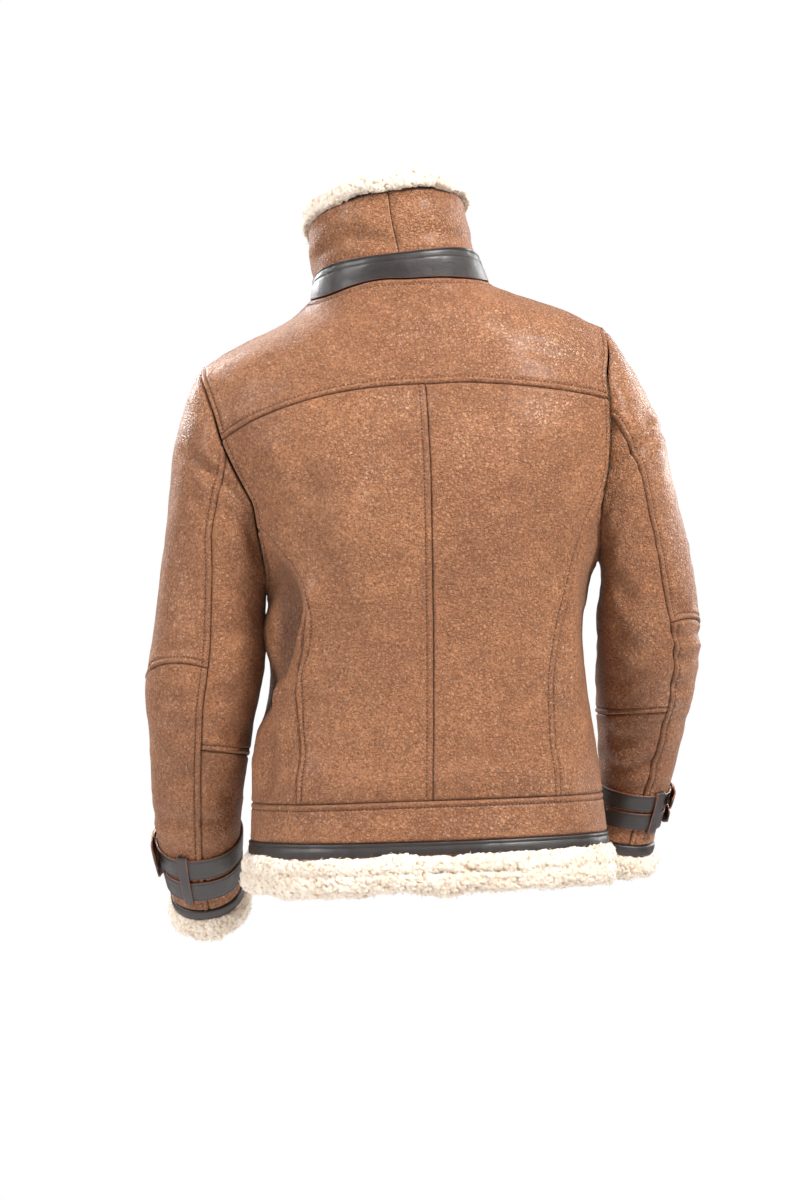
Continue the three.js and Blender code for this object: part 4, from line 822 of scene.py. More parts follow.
def tan_leather():
    m = Nodes("tan_leather")
    line, near, gloss_and_glint, hollow = m.field("line"), m.field("near"), m.field("gloss"), m.field("hollow")
    big, mid = m.noise(9, 4, 0.6, 0.4), m.noise(46, 4, 0.62, 0.3)
    colour = m.mix(m.ramp(big, (0.36, 0.0), (0.66, 1.0)), srgb(158, 100, 60), srgb(190, 128, 82))
    colour = m.mix(m.ramp(mid, (0.42, 0.0), (0.72, 0.62)), colour, srgb(204, 142, 94))
    colour = m.mix(m.ramp(mid, (0.46, 0.5), (0.26, 0.0)), colour, srgb(134, 84, 52))
    bent = m.bent(150, 0.004)
    crack = m.voronoi(250, "DISTANCE_TO_EDGE", bent)
    patch = m.noise(38, 4, 0.65)
    cracks = m.math("MULTIPLY", m.ramp(crack, (0.20, 0.0), (0.02, 1.0)), m.ramp(patch, (0.36, 0.25), (0.60, 1.0)))
    speck = m.ramp(m.noise(330, 4, 0.8, 0.4), (0.48, 0.0), (0.57, 1.0))
    fine = m.ramp(m.noise(760, 3, 0.7), (0.46, 0.0), (0.64, 1.0))
    painted_glint = m.ramp(m.noise(290, 4, 0.75, 0.5), (0.52, 0.0), (0.62, 1.0))
    dark = m.math("MAXIMUM", m.math("MULTIPLY", cracks, 0.62), m.math("MULTIPLY", speck, 0.74))
    dark = m.math("MAXIMUM", dark, m.math("MULTIPLY", fine, 0.42))
    # painted highlight: pale glints, faint everywhere and strongest where the gloss mask puts the highlights
    colour = m.mix(m.math("MULTIPLY", painted_glint, m.math("MULTIPLY_ADD", gloss_and_glint, 0.55, 0.20, clamp=True)), colour, srgb(236, 192, 156))
    colour = m.mix(dark, colour, srgb(92, 54, 32))
    # painted shade along the seam lines and in the stitched hollows
    colour = m.mix(m.math("MULTIPLY", line, 0.85), colour, srgb(62, 36, 23))
    # darker within about nine millimetres of the seams, in patches
    seam_darkening = m.math("MULTIPLY", m.ramp(near, (0.35, 0.0), (0.85, 0.34)), m.ramp(mid, (0.4, 0.35), (0.6, 1.0)))
    colour = m.mix(seam_darkening, colour, srgb(134, 86, 56))
    # painted shade: the fold troughs darkened in the colour
    colour = m.mix(m.ramp(hollow, (-2.2, 0.0), (-11.0, 0.6)), colour, srgb(82, 50, 33))
    rough = m.math("ADD", m.ramp(gloss_and_glint, (0.05, 0.52), (0.85, 0.27)), m.math("MULTIPLY", dark, 0.30))
    rough = m.math("ADD", rough, m.ramp(m.noise(150, 3), (0.3, -0.06), (0.7, 0.08)))
    wrinkle = m.noise(150, 5, 0.66, 0.9)
    b = m.bump(wrinkle, 0.0030, 0.5)
    b = m.bump(m.ramp(crack, (0.0, 0.0), (0.22, 1.0)), 0.0009, 0.8, b)
    b = m.bump(m.noise(420, 3, 0.65), 0.0012, 0.6, b)
    m.set(Base_Color=colour, Roughness=rough, Normal=b)
    m.shader.inputs["Specular IOR Level"].default_value = 0.42
    m.shader.inputs["Coat Weight"].default_value = 0.08
    m.shader.inputs["Coat Roughness"].default_value = 0.3
    m.shader.inputs["Sheen Weight"].default_value = 0.05
    m.shader.inputs["Sheen Roughness"].default_value = 0.5
    return m.mat

def dark_leather(edge=False):
    m = Nodes("dark_leather")
    near = m.field("line")
    big = m.noise(60, 4, 0.6, 0.3)
    colour = m.mix(m.ramp(big, (0.35, 0.0), (0.7, 1.0)), srgb(27, 20, 18), srgb(44, 33, 29))
    grain = m.voronoi(1500, "DISTANCE_TO_EDGE", m.bent(500, 0.0008))
    colour = m.mix(m.ramp(grain, (0.10, 0.45), (0.0, 0.9)), colour, srgb(30, 22, 20))
    colour = m.mix(m.math("MULTIPLY", near, 0.9), colour, srgb(126, 66, 40))
    rough = m.ramp(m.noise(120, 3), (0.3, 0.33), (0.7, 0.47))
    b = m.bump(m.noise(110, 3, 0.55, 0.4), 0.0014, 0.35)
    b = m.bump(m.ramp(grain, (0.0, 0.0), (0.2, 1.0)), 0.00012, 0.6, b)
    m.set(Base_Color=colour, Roughness=rough, Normal=b)
    m.shader.inputs["Specular IOR Level"].default_value = 0.55
    m.shader.inputs["Coat Weight"].default_value = 0.25
    m.shader.inputs["Coat Roughness"].default_value = 0.3
    return m.mat

def wool(name, lit=True):
    m = Nodes(name)
    deep = m.field("deep")
    big = m.noise(38, 3, 0.6)
    colour = m.mix(m.ramp(big, (0.35, 0.0), (0.65, 1.0)), srgb(226, 209, 190), srgb(238, 225, 209))
    curl = m.noise(520, 3, 0.65, 1.6)
    # painted shade in the low places of the curl bump
    colour = m.mix(m.ramp(curl, (0.48, 0.0), (0.30, 0.34)), colour, srgb(214, 190, 164))
    # painted shade: darker in the crevices between the curls and at the roots of the locks
    colour = m.mix(m.ramp(deep, (0.28, 0.0), (0.90, 0.80)), colour, srgb(190, 152, 116))
    b = m.bump(curl, 0.0012, 0.55)
    b = m.bump(m.noise(1700, 2, 0.6), 0.0004, 0.5, b)
    m.set(Base_Color=colour, Normal=b)
    m.shader.inputs["Roughness"].default_value = 0.9
    m.shader.inputs["Specular IOR Level"].default_value = 0.18
    m.shader.inputs["Sheen Weight"].default_value = 0.35
    m.shader.inputs["Sheen Roughness"].default_value = 0.6
    m.shader.inputs["Subsurface Weight"].default_value = 0.0
    return m.mat

def lining():
    """the flesh side's short wool, seen inside"""
    m = Nodes("lining_wool")
    lump = m.voronoi(190, "SMOOTH_F1", m.bent(120, 0.006))
    curl = m.noise(420, 3, 0.65, 1.4)
    # painted shade: darker between the lumps and in the low places of the curl bump
    colour = m.mix(m.ramp(lump, (0.25, 0.0), (0.85, 0.8)), srgb(240, 226, 208), srgb(196, 164, 132))
    colour = m.mix(m.ramp(curl, (0.5, 0.0), (0.3, 0.5)), colour, srgb(206, 176, 146))
    b = m.bump(m.ramp(lump, (0.9, 0.0), (0.1, 1.0)), 0.004, 0.8)
    b = m.bump(curl, 0.0012, 0.6, b)
    m.set(Base_Color=colour, Normal=b)
    m.shader.inputs["Roughness"].default_value = 0.92
    m.shader.inputs["Specular IOR Level"].default_value = 0.15
    m.shader.inputs["Sheen Weight"].default_value = 0.3
    return m.mat

def thread(name, a, b):
    m = Nodes(name)
    w = m.t.nodes.new("ShaderNodeTexWave")
    m.put(w, "Vector", m.coords)
    w.inputs["Scale"].default_value = 900
    w.inputs["Distortion"].default_value = 2.0
    m.set(Base_Color=m.mix(w.outputs["Fac"], srgb(*a), srgb(*b)), Normal=m.bump(w.outputs["Fac"], 0.0002, 0.6))
    m.shader.inputs["Roughness"].default_value = 0.7
    return m.mat

def brass():
    m = Nodes("aged_brass")
    big = m.noise(170, 4, 0.65)
    colour = m.mix(m.ramp(big, (0.38, 0.0), (0.66, 1.0)), srgb(150, 116, 66), srgb(196, 164, 110))
    colour = m.mix(m.ramp(m.noise(600, 3, 0.7), (0.58, 0.0), (0.72, 0.7)), colour, srgb(70, 48, 28))
    m.set(Base_Color=colour, Roughness=m.ramp(m.noise(420, 3), (0.3, 0.26), (0.7, 0.46)), Normal=m.bump(m.noise(700, 3), 0.0002, 0.4))
    m.shader.inputs["Metallic"].default_value = 1.0
    return m.mat

def tape():
    m = Nodes("zip_tape")
    w = m.t.nodes.new("ShaderNodeTexWave")
    w.bands_direction = "DIAGONAL"
    m.put(w, "Vector", m.coords)
    w.inputs["Scale"].default_value = 520
    w.inputs["Distortion"].default_value = 0.6
    weave = m.math("ADD", m.math("MULTIPLY", w.outputs["Fac"], 0.6), m.math("MULTIPLY", m.noise(900, 2), 0.4))
    m.set(Base_Color=m.mix(weave, srgb(26, 20, 17), srgb(58, 46, 38)), Normal=m.bump(weave, 0.0004, 0.7))
    m.shader.inputs["Roughness"].default_value = 0.85
    return m.mat

MATERIALS.update(tan=tan_leather(), dark=dark_leather(), fur=wool("curly_wool"), wool=lining(), brass=brass(), tape=tape(),
                 thread=thread("tan_thread", (62, 38, 24), (90, 56, 36)), dark_thread=thread("dark_thread", (20, 15, 13), (52, 40, 35)),
                 light_thread=thread("light_thread", (176, 130, 92), (206, 164, 126)))

# ----------------------------------------------------------------- leather panels
def at_stations(values, s):
    """value at a share s of the way through a list of stations"""
    return np.interp(np.asarray(s) * (len(values) - 1), np.arange(len(values)), values)

def two(s, n1, n2, first, second):
    """first over n1 steps, then second over n2"""
    s = np.asarray(s, float)
    cut = n1 / (n1 + n2)
    a, b = first(np.clip(s / cut, 0, 1)), second(np.clip((s - cut) / (1 - cut), 0, 1))
    low = s < cut
    return np.where(low, a[0], b[0]), np.where(low, a[1], b[1])

def arm_edge(side, part, back=False):
    st = STATIONS[side][part][::-1] if back else STATIONS[side][part]
    return lambda s: armhole(side, at_stations(st, s))

def shoulder(side):
    q = 0.0 if side == "left" else np.pi
    z0, z1 = float(armhole(side, 0)[1]), float(neck_point(q)[1])
    return lambda s: (np.full(np.shape(s), q), lerp(z0, z1, np.asarray(s)))

yoke_end = {"left": [float(x) for x in armhole("left", 69.5)], "right": [float(x) for x in armhole("right", 68.2)]}
yoke_deg = {k: math.degrees(v[0]) for k, v in yoke_end.items()}
def yoke_edge(a, b):
    def f(s):
        d = lerp(a, b, np.asarray(s, float))
        z, left = YOKE_Z(d), d < 60
        k = np.where(left, 1 - (d - yoke_deg["left"]) / (60 - yoke_deg["left"]), np.where(d > 140, (d - 140) / (yoke_deg["right"] - 140), 0))
        goal = np.where(left, yoke_end["left"][1] + z - YOKE_Z(yoke_deg["left"]), yoke_end["right"][1] + z - YOKE_Z(yoke_deg["right"]))
        return rad(d), lerp(z, goal, np.maximum(0, k))
    return f
yoke_left, yoke_right = yoke_edge(yoke_deg["left"], CENTRE_BACK), yoke_edge(CENTRE_BACK, yoke_deg["right"])
LOW = {"left": rad(45.3), "right": rad(134.9)}
def waist_edge(a, b, level=waist_z):
    return lambda s: (lerp(a, b, np.asarray(s, float)), level(lerp(a, b, np.asarray(s, float))))
def centre_line(s):
    z = lerp(float(waist_z(rad(CENTRE_BACK))), float(YOKE_Z(CENTRE_BACK)), np.asarray(s, float))
    return np.full(z.shape, rad(CENTRE_BACK)), z
def princess(side):
    top, low = armhole(side, STATIONS[side]["under"][0]), LOW[side]
    z0, z1, P = float(waist_z(low)), float(top[1]), PRINCESS[side]
    a0, a1 = float(rad(P(z0))), float(rad(P(z1)))
    def f(s):
        s = np.asarray(s, float)
        z = lerp(z0, z1, s)
        q = rad(P(z))
        # the ends sit on the waistband's and the armhole's own points
        return q + (low - a0) * np.clip(1 - s * 11, 0, 1) + (float(top[0]) - a1) * np.clip(s * 11 - 10, 0, 1), z
    return f
def side_seam(side):
    low, z1 = rad(float(SIDE[side](-600))), float(armhole(side, 180)[1])
    z0 = float(waist_z(low))
    return lambda s: (rad(SIDE[side](np.minimum(lerp(z0, z1, np.asarray(s, float)), z1))), lerp(z0, z1, np.asarray(s, float)))
def both(a, b, na, nb):
    return lambda s: two(s, na, nb, a, b)

def coons(left, right, bottom, top, fade=1):
    c = [np.array([float(x) for x in f(np.array(t))]) for f, t in ((bottom, 0.0), (bottom, 1.0), (top, 0.0), (top, 1.0))]
    def param(u, v):
        L, R, B, T = left(v), right(v), bottom(u), top(u)
        if fade > 1:
            v, u = np.asarray(v, float), np.asarray(u, float)
            f0, f1 = (1 - u) ** fade, u ** fade
            return tuple((1 - v) * B[k] + v * T[k] + f0 * (L[k] - (1 - v) * c[0][k] - v * c[2][k]) + f1 * (R[k] - (1 - v) * c[1][k] - v * c[3][k]) for k in (0, 1))
        return tuple((1 - u) * L[k] + u * R[k] + (1 - v) * B[k] + v * T[k]
                     - ((1 - u) * (1 - v) * c[0][k] + u * (1 - v) * c[1][k] + (1 - u) * v * c[2][k] + u * v * c[3][k]) for k in (0, 1))
    return param

ALL = (0, 1)
panels = {}
def add_panel(name, *a, **k):
    panels[name] = Panel(name, *a, **k)

add_panel("back_yoke", "body", coons(both(arm_edge("left", "yoke", True), shoulder("left"), 5, 4), both(arm_edge("right", "yoke", True), shoulder("right"), 5, 4),
          both(yoke_left, yoke_right, 8, 8), lambda s: neck_point(lerp(0, np.pi, np.asarray(s, float))), fade=3),
          dict(left=[(0, 5 / 9, "over"), (5 / 9, 1, "over")], right=[(0, 5 / 9, "over"), (5 / 9, 1, "over")], bottom=[(0, 1, "over")], top=[(0, 1, "over")]))
add_panel("back_centre_left", "body", coons(both(princess("left"), arm_edge("left", "back", True), 11, 4), centre_line, waist_edge(LOW["left"], rad(CENTRE_BACK)), yoke_left),
          dict(left=[(0, 11 / 15, "over"), (11 / 15, 1, "over")], right=[(0, 1, "over")], bottom=[(0, 1, "under")], top=[(0, 1, "under")]))
add_panel("back_centre_right", "body", coons(centre_line, both(princess("right"), arm_edge("right", "back", True), 11, 4), waist_edge(rad(CENTRE_BACK), LOW["right"]), yoke_right),
          dict(left=[(0, 1, "under")], right=[(0, 11 / 15, "over"), (11 / 15, 1, "over")], bottom=[(0, 1, "under")], top=[(0, 1, "under")]))
side_low = {s: float(side_seam(s)(np.array(0.0))[0]) for s in ("left", "right")}
add_panel("back_side_left", "body", coons(side_seam("left"), princess("left"), waist_edge(side_low["left"], LOW["left"]), arm_edge("left", "under", True)),
          dict(left=[(0, 1, "plain")], right=[(0, 1, "under")], bottom=[(0, 1, "under")], top=[(0, 1, "over")]))
add_panel("back_side_right", "body", coons(princess("right"), side_seam("right"), waist_edge(LOW["right"], side_low["right"]), arm_edge("right", "under")),
          dict(left=[(0, 1, "under")], right=[(0, 1, "plain")], bottom=[(0, 1, "under")], top=[(0, 1, "over")]))

def front_angle(sign, z):
    cx = BODY["cx"](z)
    return FRONT + sign * FRONT_EDGE / np.where(sign > 0, BODY["xl"](z) - cx, cx - BODY["xr"](z))
def front(side):
    sign = 1 if side == "left" else -1
    z0, z1 = float(waist_z(FRONT)), float(neck_point(np.array(FRONT))[1])
    edge = lambda s: (front_angle(sign, lerp(z0, z1, np.asarray(s, float))), lerp(z0, z1, np.asarray(s, float)))
    turn = TURN if side == "left" else 0.0
    parts = both(both(side_seam(side), arm_edge(side, "front"), 11, 12), shoulder(side), 23, 3)
    outer = lambda s: (parts(s)[0] + turn, parts(s)[1])
    # the armhole's angle runs on past the top of the turn
    low = waist_edge(float(edge(np.array(0.0))[0]), float(outer(np.array(0.0))[0]))
    e1 = edge(np.array(1.0))
    tip = body(*e1)
    plan = math.atan2(tip[1], tip[0]) + TURN
    goal = TURN if side == "left" else np.pi
    def top(s):
        s = np.asarray(s, float)
        q, z = neck_point(lerp(plan, goal, s))
        k = np.clip(1 - s * 8, 0, 1)
        q0, z0_ = neck_point(np.array(plan))
        return q + (float(e1[0]) - float(q0)) * k, z + (float(e1[1]) - float(z0_)) * k
    flip = lambda f: (lambda s: f(1 - np.asarray(s, float)))
    return coons(edge, outer, low, top) if side == "left" else coons(outer, edge, flip(low), flip(top))
F_OUT = [(0, 11 / 26, "plain"), (11 / 26, 23 / 26, "over"), (23 / 26, 1, "under")]
add_panel("front_left", "body", front("left"), dict(left=[(0, 1, "edge")], right=F_OUT, bottom=[(0, 1, "under")], top=[(0, 1, "over")]))
add_panel("front_right", "body", front("right"), dict(left=F_OUT, right=[(0, 1, "edge")], bottom=[(0, 1, "under")], top=[(0, 1, "over")]))

A0, A1 = float(front_angle(1, -600.0)), float(front_angle(-1, -600.0)) + TURN
def band_param(top, low, a0=A0, a1=A1):
    def param(u, v):
        q = lerp(a0, a1, np.asarray(u, float))
        return q, lerp(low(q), top(q), np.asarray(v, float))
    return param
add_panel("waistband", "body", band_param(waist_z, bind_top), dict(left=[(0, 1, "edge")], right=[(0, 1, "edge")], bottom=[(0, 1, "plain")], top=[(0, 1, "over")]))

for side in ("left", "right"):
    add_panel(f"collar_{side}", "collar", (lambda a, b: (lambda u, v: (lerp(a, b, np.asarray(u, float)) + 0 * v, lerp(0.004, 1.0, np.asarray(v, float)) + 0 * u)))(*((C0, CB) if side == "left" else (CB, C1))),
              dict(left=[(0, 1, "edge" if side == "left" else "plain")], right=[(0, 1, "plain" if side == "left" else "edge")], bottom=[(0, 1, "under")], top=[(0, 1, "under")]), wall=COLLAR_WALL)

def sleeve_param(side, t0, t1, s0, s1):
    def param(u, v):
        t = lerp(t0, t1, np.asarray(v, float)) + 0 * np.asarray(u, float)
        phi = lerp(s0(t), s1(t), np.asarray(u, float))
        # the cross seams stand higher at the back of the arm than at the front
        return phi, t - LEN[side]["rise"] * np.sin(rad(phi)) * smooth(t, 60, 205) * (1 - smooth(t, 322, 408))
    return param
for side in ("left", "right"):
    L, b = LEN[side], BACK_SEAM[side]
    f, f0 = (lambda t: np.full(np.shape(t), 255.0)), (lambda t: np.full(np.shape(t), -105.0))
    top_edges = lambda t0, t1: dict(left=[(0, 1, "plain")], right=[(0, 1, "over")], bottom=[(0, 1, t0)], top=[(0, 1, t1)])
    under_edges = lambda t0, t1: dict(left=[(0, 1, "under")], right=[(0, 1, "plain")], bottom=[(0, 1, t0)], top=[(0, 1, t1)])
    add_panel(f"sleeve_{side}_top_upper", side, sleeve_param(side, 0.25, L["elbow"], f0, b), top_edges("under", "over"))
    add_panel(f"sleeve_{side}_top_lower", side, sleeve_param(side, L["elbow"], L["end"], f0, b), top_edges("under", "plain"))
    add_panel(f"sleeve_{side}_under_upper", side, sleeve_param(side, 0.25, L["under"], b, f), under_edges("under", "over"))
    add_panel(f"sleeve_{side}_under_lower", side, sleeve_param(side, L["under"], L["end"], b, f), under_edges("under", "plain"))

# ------------------------------------------------------- swept pieces and curly wool
def sweep(name, P, look, replaces, closed=False, fields=None, caps=True, more=None, body_name="jacket"):
    """P: stations x section points x 3, the section closed on itself."""
    S, C = P.shape[:2]
    at = np.arange(S * C).reshape(S, C)
    a = at if not closed else np.concatenate([at, at[:1]])
    q = np.stack([a[:-1], np.roll(a, -1, 1)[:-1], np.roll(a, -1, 1)[1:], a[1:]], -1).reshape(-1, 4)
    verts = P.reshape(-1, 3)
    tri = []
    if not closed and caps:
        n = len(verts)
        verts = np.concatenate([verts, P[0].mean(0, keepdims=True), P[-1].mean(0, keepdims=True)])
        j = np.arange(C)
        tri = np.concatenate([np.stack([at[0], np.full(C, n), np.roll(at[0], -1)], -1), np.stack([at[-1], np.roll(at[-1], -1), np.full(C, n + 1)], -1)])
        if fields:
            fields = {k: np.concatenate([np.asarray(v).reshape(-1), [0, 0]]) for k, v in fields.items()}
    # outward faces
    e = verts[q]
    vol = np.einsum("ij,ij->i", e[:, 0], np.cross(e[:, 1], e[:, 2])).sum() + np.einsum("ij,ij->i", e[:, 0], np.cross(e[:, 2], e[:, 3])).sum()
    if len(tri):
        t = verts[tri]
        vol_t = np.einsum("ij,ij->i", t[:, 0], np.cross(t[:, 1], t[:, 2])).sum()
        vol += vol_t
    if vol < 0:
        q = q[:, ::-1]
        tri = tri[:, ::-1] if len(tri) else tri
    faces = [q] + ([tri] if len(tri) else [])
    return build(name, verts, faces, [look], replaces, fields=fields, body_name=body_name)

def rounded(profile, n, tight=0.5):
    """a closed smooth section through a few corners"""
    p = np.array(profile, float)
    k = len(p)
    t = np.linspace(0, k, n, endpoint=False)
    i = np.floor(t).astype(int)
    u = (t - i)[:, None]
    g = lambda j: p[(i + j) % k]
    m0, m1 = tight * (g(1) - g(-1)), tight * (g(2) - g(0))
    return (2 * u ** 3 - 3 * u ** 2 + 1) * g(0) + (u ** 3 - 2 * u ** 2 + u) * m0 + (-2 * u ** 3 + 3 * u ** 2) * g(1) + (u ** 3 - u ** 2) * m1

def even(profile, n, scale=(1, 1)):
    """a closed section resampled at even spacing"""
    p = rounded(profile, 1200)
    q = np.concatenate([p, p[:1]])
    L = np.concatenate([[0], np.cumsum(np.linalg.norm(np.diff(q * np.array(scale), axis=0), axis=1))])
    at = np.linspace(0, L[-1], n, endpoint=False)
    return np.stack([np.interp(at, L, q[:, 0]), np.interp(at, L, q[:, 1])], -1)

TUFTS = []
def curly(name, P, replaces, closed, seed, tufts, ragged=1.0, keep_in=None):
    """short wool on a swept form: curls, crevices and loose locks"""
    du = np.gradient(P, axis=0) if not closed else (np.roll(P, -1, 0) - np.roll(P, 1, 0))
    dv = np.roll(P, -1, 1) - np.roll(P, 1, 1)
    N = unit(np.cross(du, dv))
    c = P.mean(1, keepdims=True)
    if ((P - c) * N).sum() < 0:
        N = -N
    # push the lookup about, so that the curls aren't round
    W = P + np.stack([noise(P, 5.5, seed + 11), noise(P, 5.5, seed + 12), noise(P, 5.5, seed + 13)], -1) * 1.7
    one, two, own = cells(W, 4.3, seed)
    big1, _, big = cells(W, 10.5, seed + 5)
    curl = np.sqrt(np.clip(1 - (one / 0.86) ** 2, 0, 1))
    gap = smooth(two - one, 0.0, 0.34)
    lump = np.clip(1 - big1, 0, 1)
    H = (curl * 1.9 + gap * 1.0 + (own - 0.5) * 1.6) + lump * 1.7 + noise(P, 24, seed + 7) * 1.3 * ragged - 2.7
    # painted shade: how far into the crevices each point lies, used to darken the wool's colour
    deep = np.clip(1.05 - curl * 0.75 - gap * 0.35 + (0.45 - own) * 0.25, 0, 1)
    Q = P + N * H[..., None]
    obj = sweep(name, Q, "fur", replaces, closed, fields=dict(deep=deep))
    # loose locks, each a short bent taper
    rng = np.random.default_rng(seed)
    S, C = P.shape[:2]
    edge = 1 if not closed else 0
    i, j = rng.integers(edge * 2, S - edge * 2, tufts), rng.integers(0, C, tufts)
    keep = rng.random(tufts) < 0.35 + 0.65 * curl[i, j]
    if keep_in is not None:
        keep &= keep_in[j]
    i, j = i[keep], j[keep]
    n = len(i)
    O, up = Q[i, j] - N[i, j] * 0.8, N[i, j]
    side = unit(np.cross(up, rng.normal(size=(n, 3))))
    lean = unit(up + side * rng.uniform(0.2, 1.0, (n, 1)))
    TUFTS.append((name, O, lean, side, rng.uniform(2.2, 4.6, n), rng.uniform(0.7, 1.15, n), rng.uniform(-1, 1, n)))
    return obj

def make_tufts(name, O, way, side, length, width, hook, slot="wool"):
    n = len(O)
    other = unit(np.cross(way, side))
    # painted shade: each lock is darker towards its root
    rings, deep = [], []
    for k, (t, w) in enumerate(((0, 1.0), (0.4, 0.95), (0.75, 0.62), (1.0, 0.08))):
        # it bends over to one side as it grows
        c = O + way * (length * math.sin(1.35 * t) / 1.35)[:, None] + side * (length * (t ** 2) * 0.62)[:, None] + other * (hook * length * 0.22 * t)[:, None]
        ax = unit(way * math.cos(1.35 * t) + side * math.sin(1.35 * t))
        a, b = unit(np.cross(ax, other)), other
        for g in range(3):
            al = 2 * math.pi * g / 3
            rings.append(c + (a * math.cos(al) + b * math.sin(al)) * (width * 0.5 * w)[:, None])
            deep.append(np.full(n, (0.55, 0.28, 0.1, 0.0)[k]))
    V = np.stack(rings, 1)
    base = (np.arange(n) * 12)[:, None]
    quads = np.concatenate([base + np.array([[3 * k + g, 3 * k + (g + 1) % 3, 3 * k + 3 + (g + 1) % 3, 3 * k + 3 + g]]) for k in range(3) for g in range(3)])
    ends = np.concatenate([base + np.array([[0, 2, 1]]), base + np.array([[9, 10, 11]])])
    return build(name, V.reshape(-1, 3), [quads, ends], ["fur"], fields=dict(deep=np.stack(deep, 1)))

# hem wool
sec = even([[-7, 0], [1.5, 0.5], [7, -3], [10, -12], [10.5, -24], [9.5, -36], [5, -42.5], [-3, -44], [-8, -41], [-11, -30], [-12, -16], [-11, -4]], 84)
q = np.linspace(lerp(FRONT, A0, 0.3) + 0.004, lerp(FRONT + TURN, A1, 0.3) - 0.004, 830)
Q, SN = np.meshgrid(q, sec[:, 0], indexing="ij")
SZ = np.broadcast_to(sec[:, 1], Q.shape)
top = bind_low(q)[:, None] - 0.35
k = (top - fur_low(q)[:, None]) / 44
# its own hang, uneven up and down
wave = noise(np.stack([Q * 150, 0 * Q, 0 * Q], -1), 34, 81) * 2.2 + noise(np.stack([Q * 150, 0 * Q, 0 * Q], -1), 13, 82) * 1.0
Z = top + 1.6 + SZ * k * 1.0 + wave * smooth(-SZ, 20, 44) + 1.1 * wave * smooth(-SZ, 12, 0)
groove = -1.8 * bell(SZ, -20, 3.2) * (SN > 0)
curly("hem_wool", FORM["body"].at(Q, Z, SN + groove - 0.4), ["hem_fur"], False, 101, 4700, keep_in=None)

# collar wool
H_ROWS = [0, 0.05, 0.16, 0.28, 0.4, 0.52, 0.64, 0.76, 0.88, 1]
def rim(h0):
    return [[h, -COLLAR_WALL - 0.6] for h in [h0, *H_ROWS[3:9], 1.004]] + [[1.004, 2], [1.02, 7], [1.09, 9], [1.17, 7.5], [1.22, 1],
        [1.235, -6], [1.21, -14], [1.13, -19], [1.02, -18], [0.8, -15], [0.5, -13.5], [h0 + 0.1, -12], [h0, -9]]
qs = np.linspace(C0 + 0.01, C1 - 0.01, 400)
secs = {}
lows = np.round(0.1 + 0.16 * np.maximum(0, -np.sin(qs)), 3)
for lo in np.unique(lows):
    secs[lo] = even(rim(lo), 150, (100, 1))
sec3 = np.stack([secs[lo] for lo in lows])
Hh, Nn = sec3[..., 0], sec3[..., 1]
Qq = np.broadcast_to(qs[:, None], Hh.shape)
outer_part = Nn > -8
wave = (noise(np.stack([Qq * 92, 0 * Qq, 0 * Qq], -1), 30, 91) * 1.8 + noise(np.stack([Qq * 92, 0 * Qq, 0 * Qq], -1), 11, 92) * 0.9) * smooth(Hh, 0.95, 1.05)
curly("collar_wool", FORM["collar"].at(Qq, Hh + wave * 0.01, Nn - 0.4 + 0.5 * wave), ["collar_fur"], False, 131, 3300)

# cuff wool and the bands round the sleeve's end
for side in ("left", "right"):
    L, F = LEN[side], FORM[side]
    bt, bl = L["bind"]
    fl = L["fur"] - bl
    prof = [[0.2, -6], [0.2, 0], [4, 5.5], [fl * 0.4, 8], [fl * 0.75, 6], [fl - 1, 0], [fl, -5], [fl - 2, -11], [fl * 0.6, -15], [fl * 0.3, -15], [1.5, -11]]
    sec = even([[bl + t, n] for t, n in prof], 62)
    ph = np.linspace(0, 360, 230, endpoint=False)
    A, Nn = np.meshgrid(ph, sec[:, 1], indexing="ij")
    T = np.broadcast_to(sec[:, 0], A.shape)
    R = np.stack([np.cos(rad(A)) * 45, np.sin(rad(A)) * 45, 0 * A], -1)
    wave = noise(R, 26, 95 if side == "left" else 96) * 2.0 + noise(R, 11, 97) * 0.9
    curly(f"cuff_{side}_wool", F.at(A, T + wave * smooth(T, bl + fl * 0.4, bl + fl), Nn - 0.3), [f"cuff_{side}_fur"], True, 151 if side == "left" else 161, 1500)
for name, *rest in TUFTS:
    make_tufts(name + "_locks", *rest)

# ---------------------------------------------------------------- dark leather bands
def dark_section(w, t, round_off=0.8, crown=0.25, grooves=(), n=30):
    """flat strap section: across from 0 to w, n from 0 to t, rounded edges, a low crown, stitched hollows"""
    x = np.concatenate([np.linspace(0, 1, n)])
    top_x = round_off * 0.4 + (w - round_off * 0.8) * (0.5 - 0.5 * np.cos(np.pi * x)) * 1.0
    top_n = t + crown * np.sin(np.pi * top_x / w)
    for g in grooves:
        top_n = top_n - 0.55 * bell(top_x, g, 0.7) + 0.25 * bell(top_x, g - 1.6, 1.1) + 0.25 * bell(top_x, g + 1.6, 1.1)
    e = 0.5 * round_off
    edge_r = [[w - 0.1, t - e * 0.8], [w, t * 0.5], [w - 0.15, 0.2]]
    edge_l = [[0.15, 0.2], [0, t * 0.5], [0.1, t - e * 0.8]]
    low = [[w - 0.8, 0.0], [w * 0.5, 0.0], [0.8, 0.0]]
    pts = np.concatenate([np.stack([top_x, top_n], -1), edge_r, low, edge_l])
    edge = np.concatenate([bell(top_x, 0, 0.5) + bell(top_x, w, 0.5), [1, 1, 1], [0.6, 0, 0.6], [1, 1, 1]])
    return pts, np.clip(edge, 0, 1)

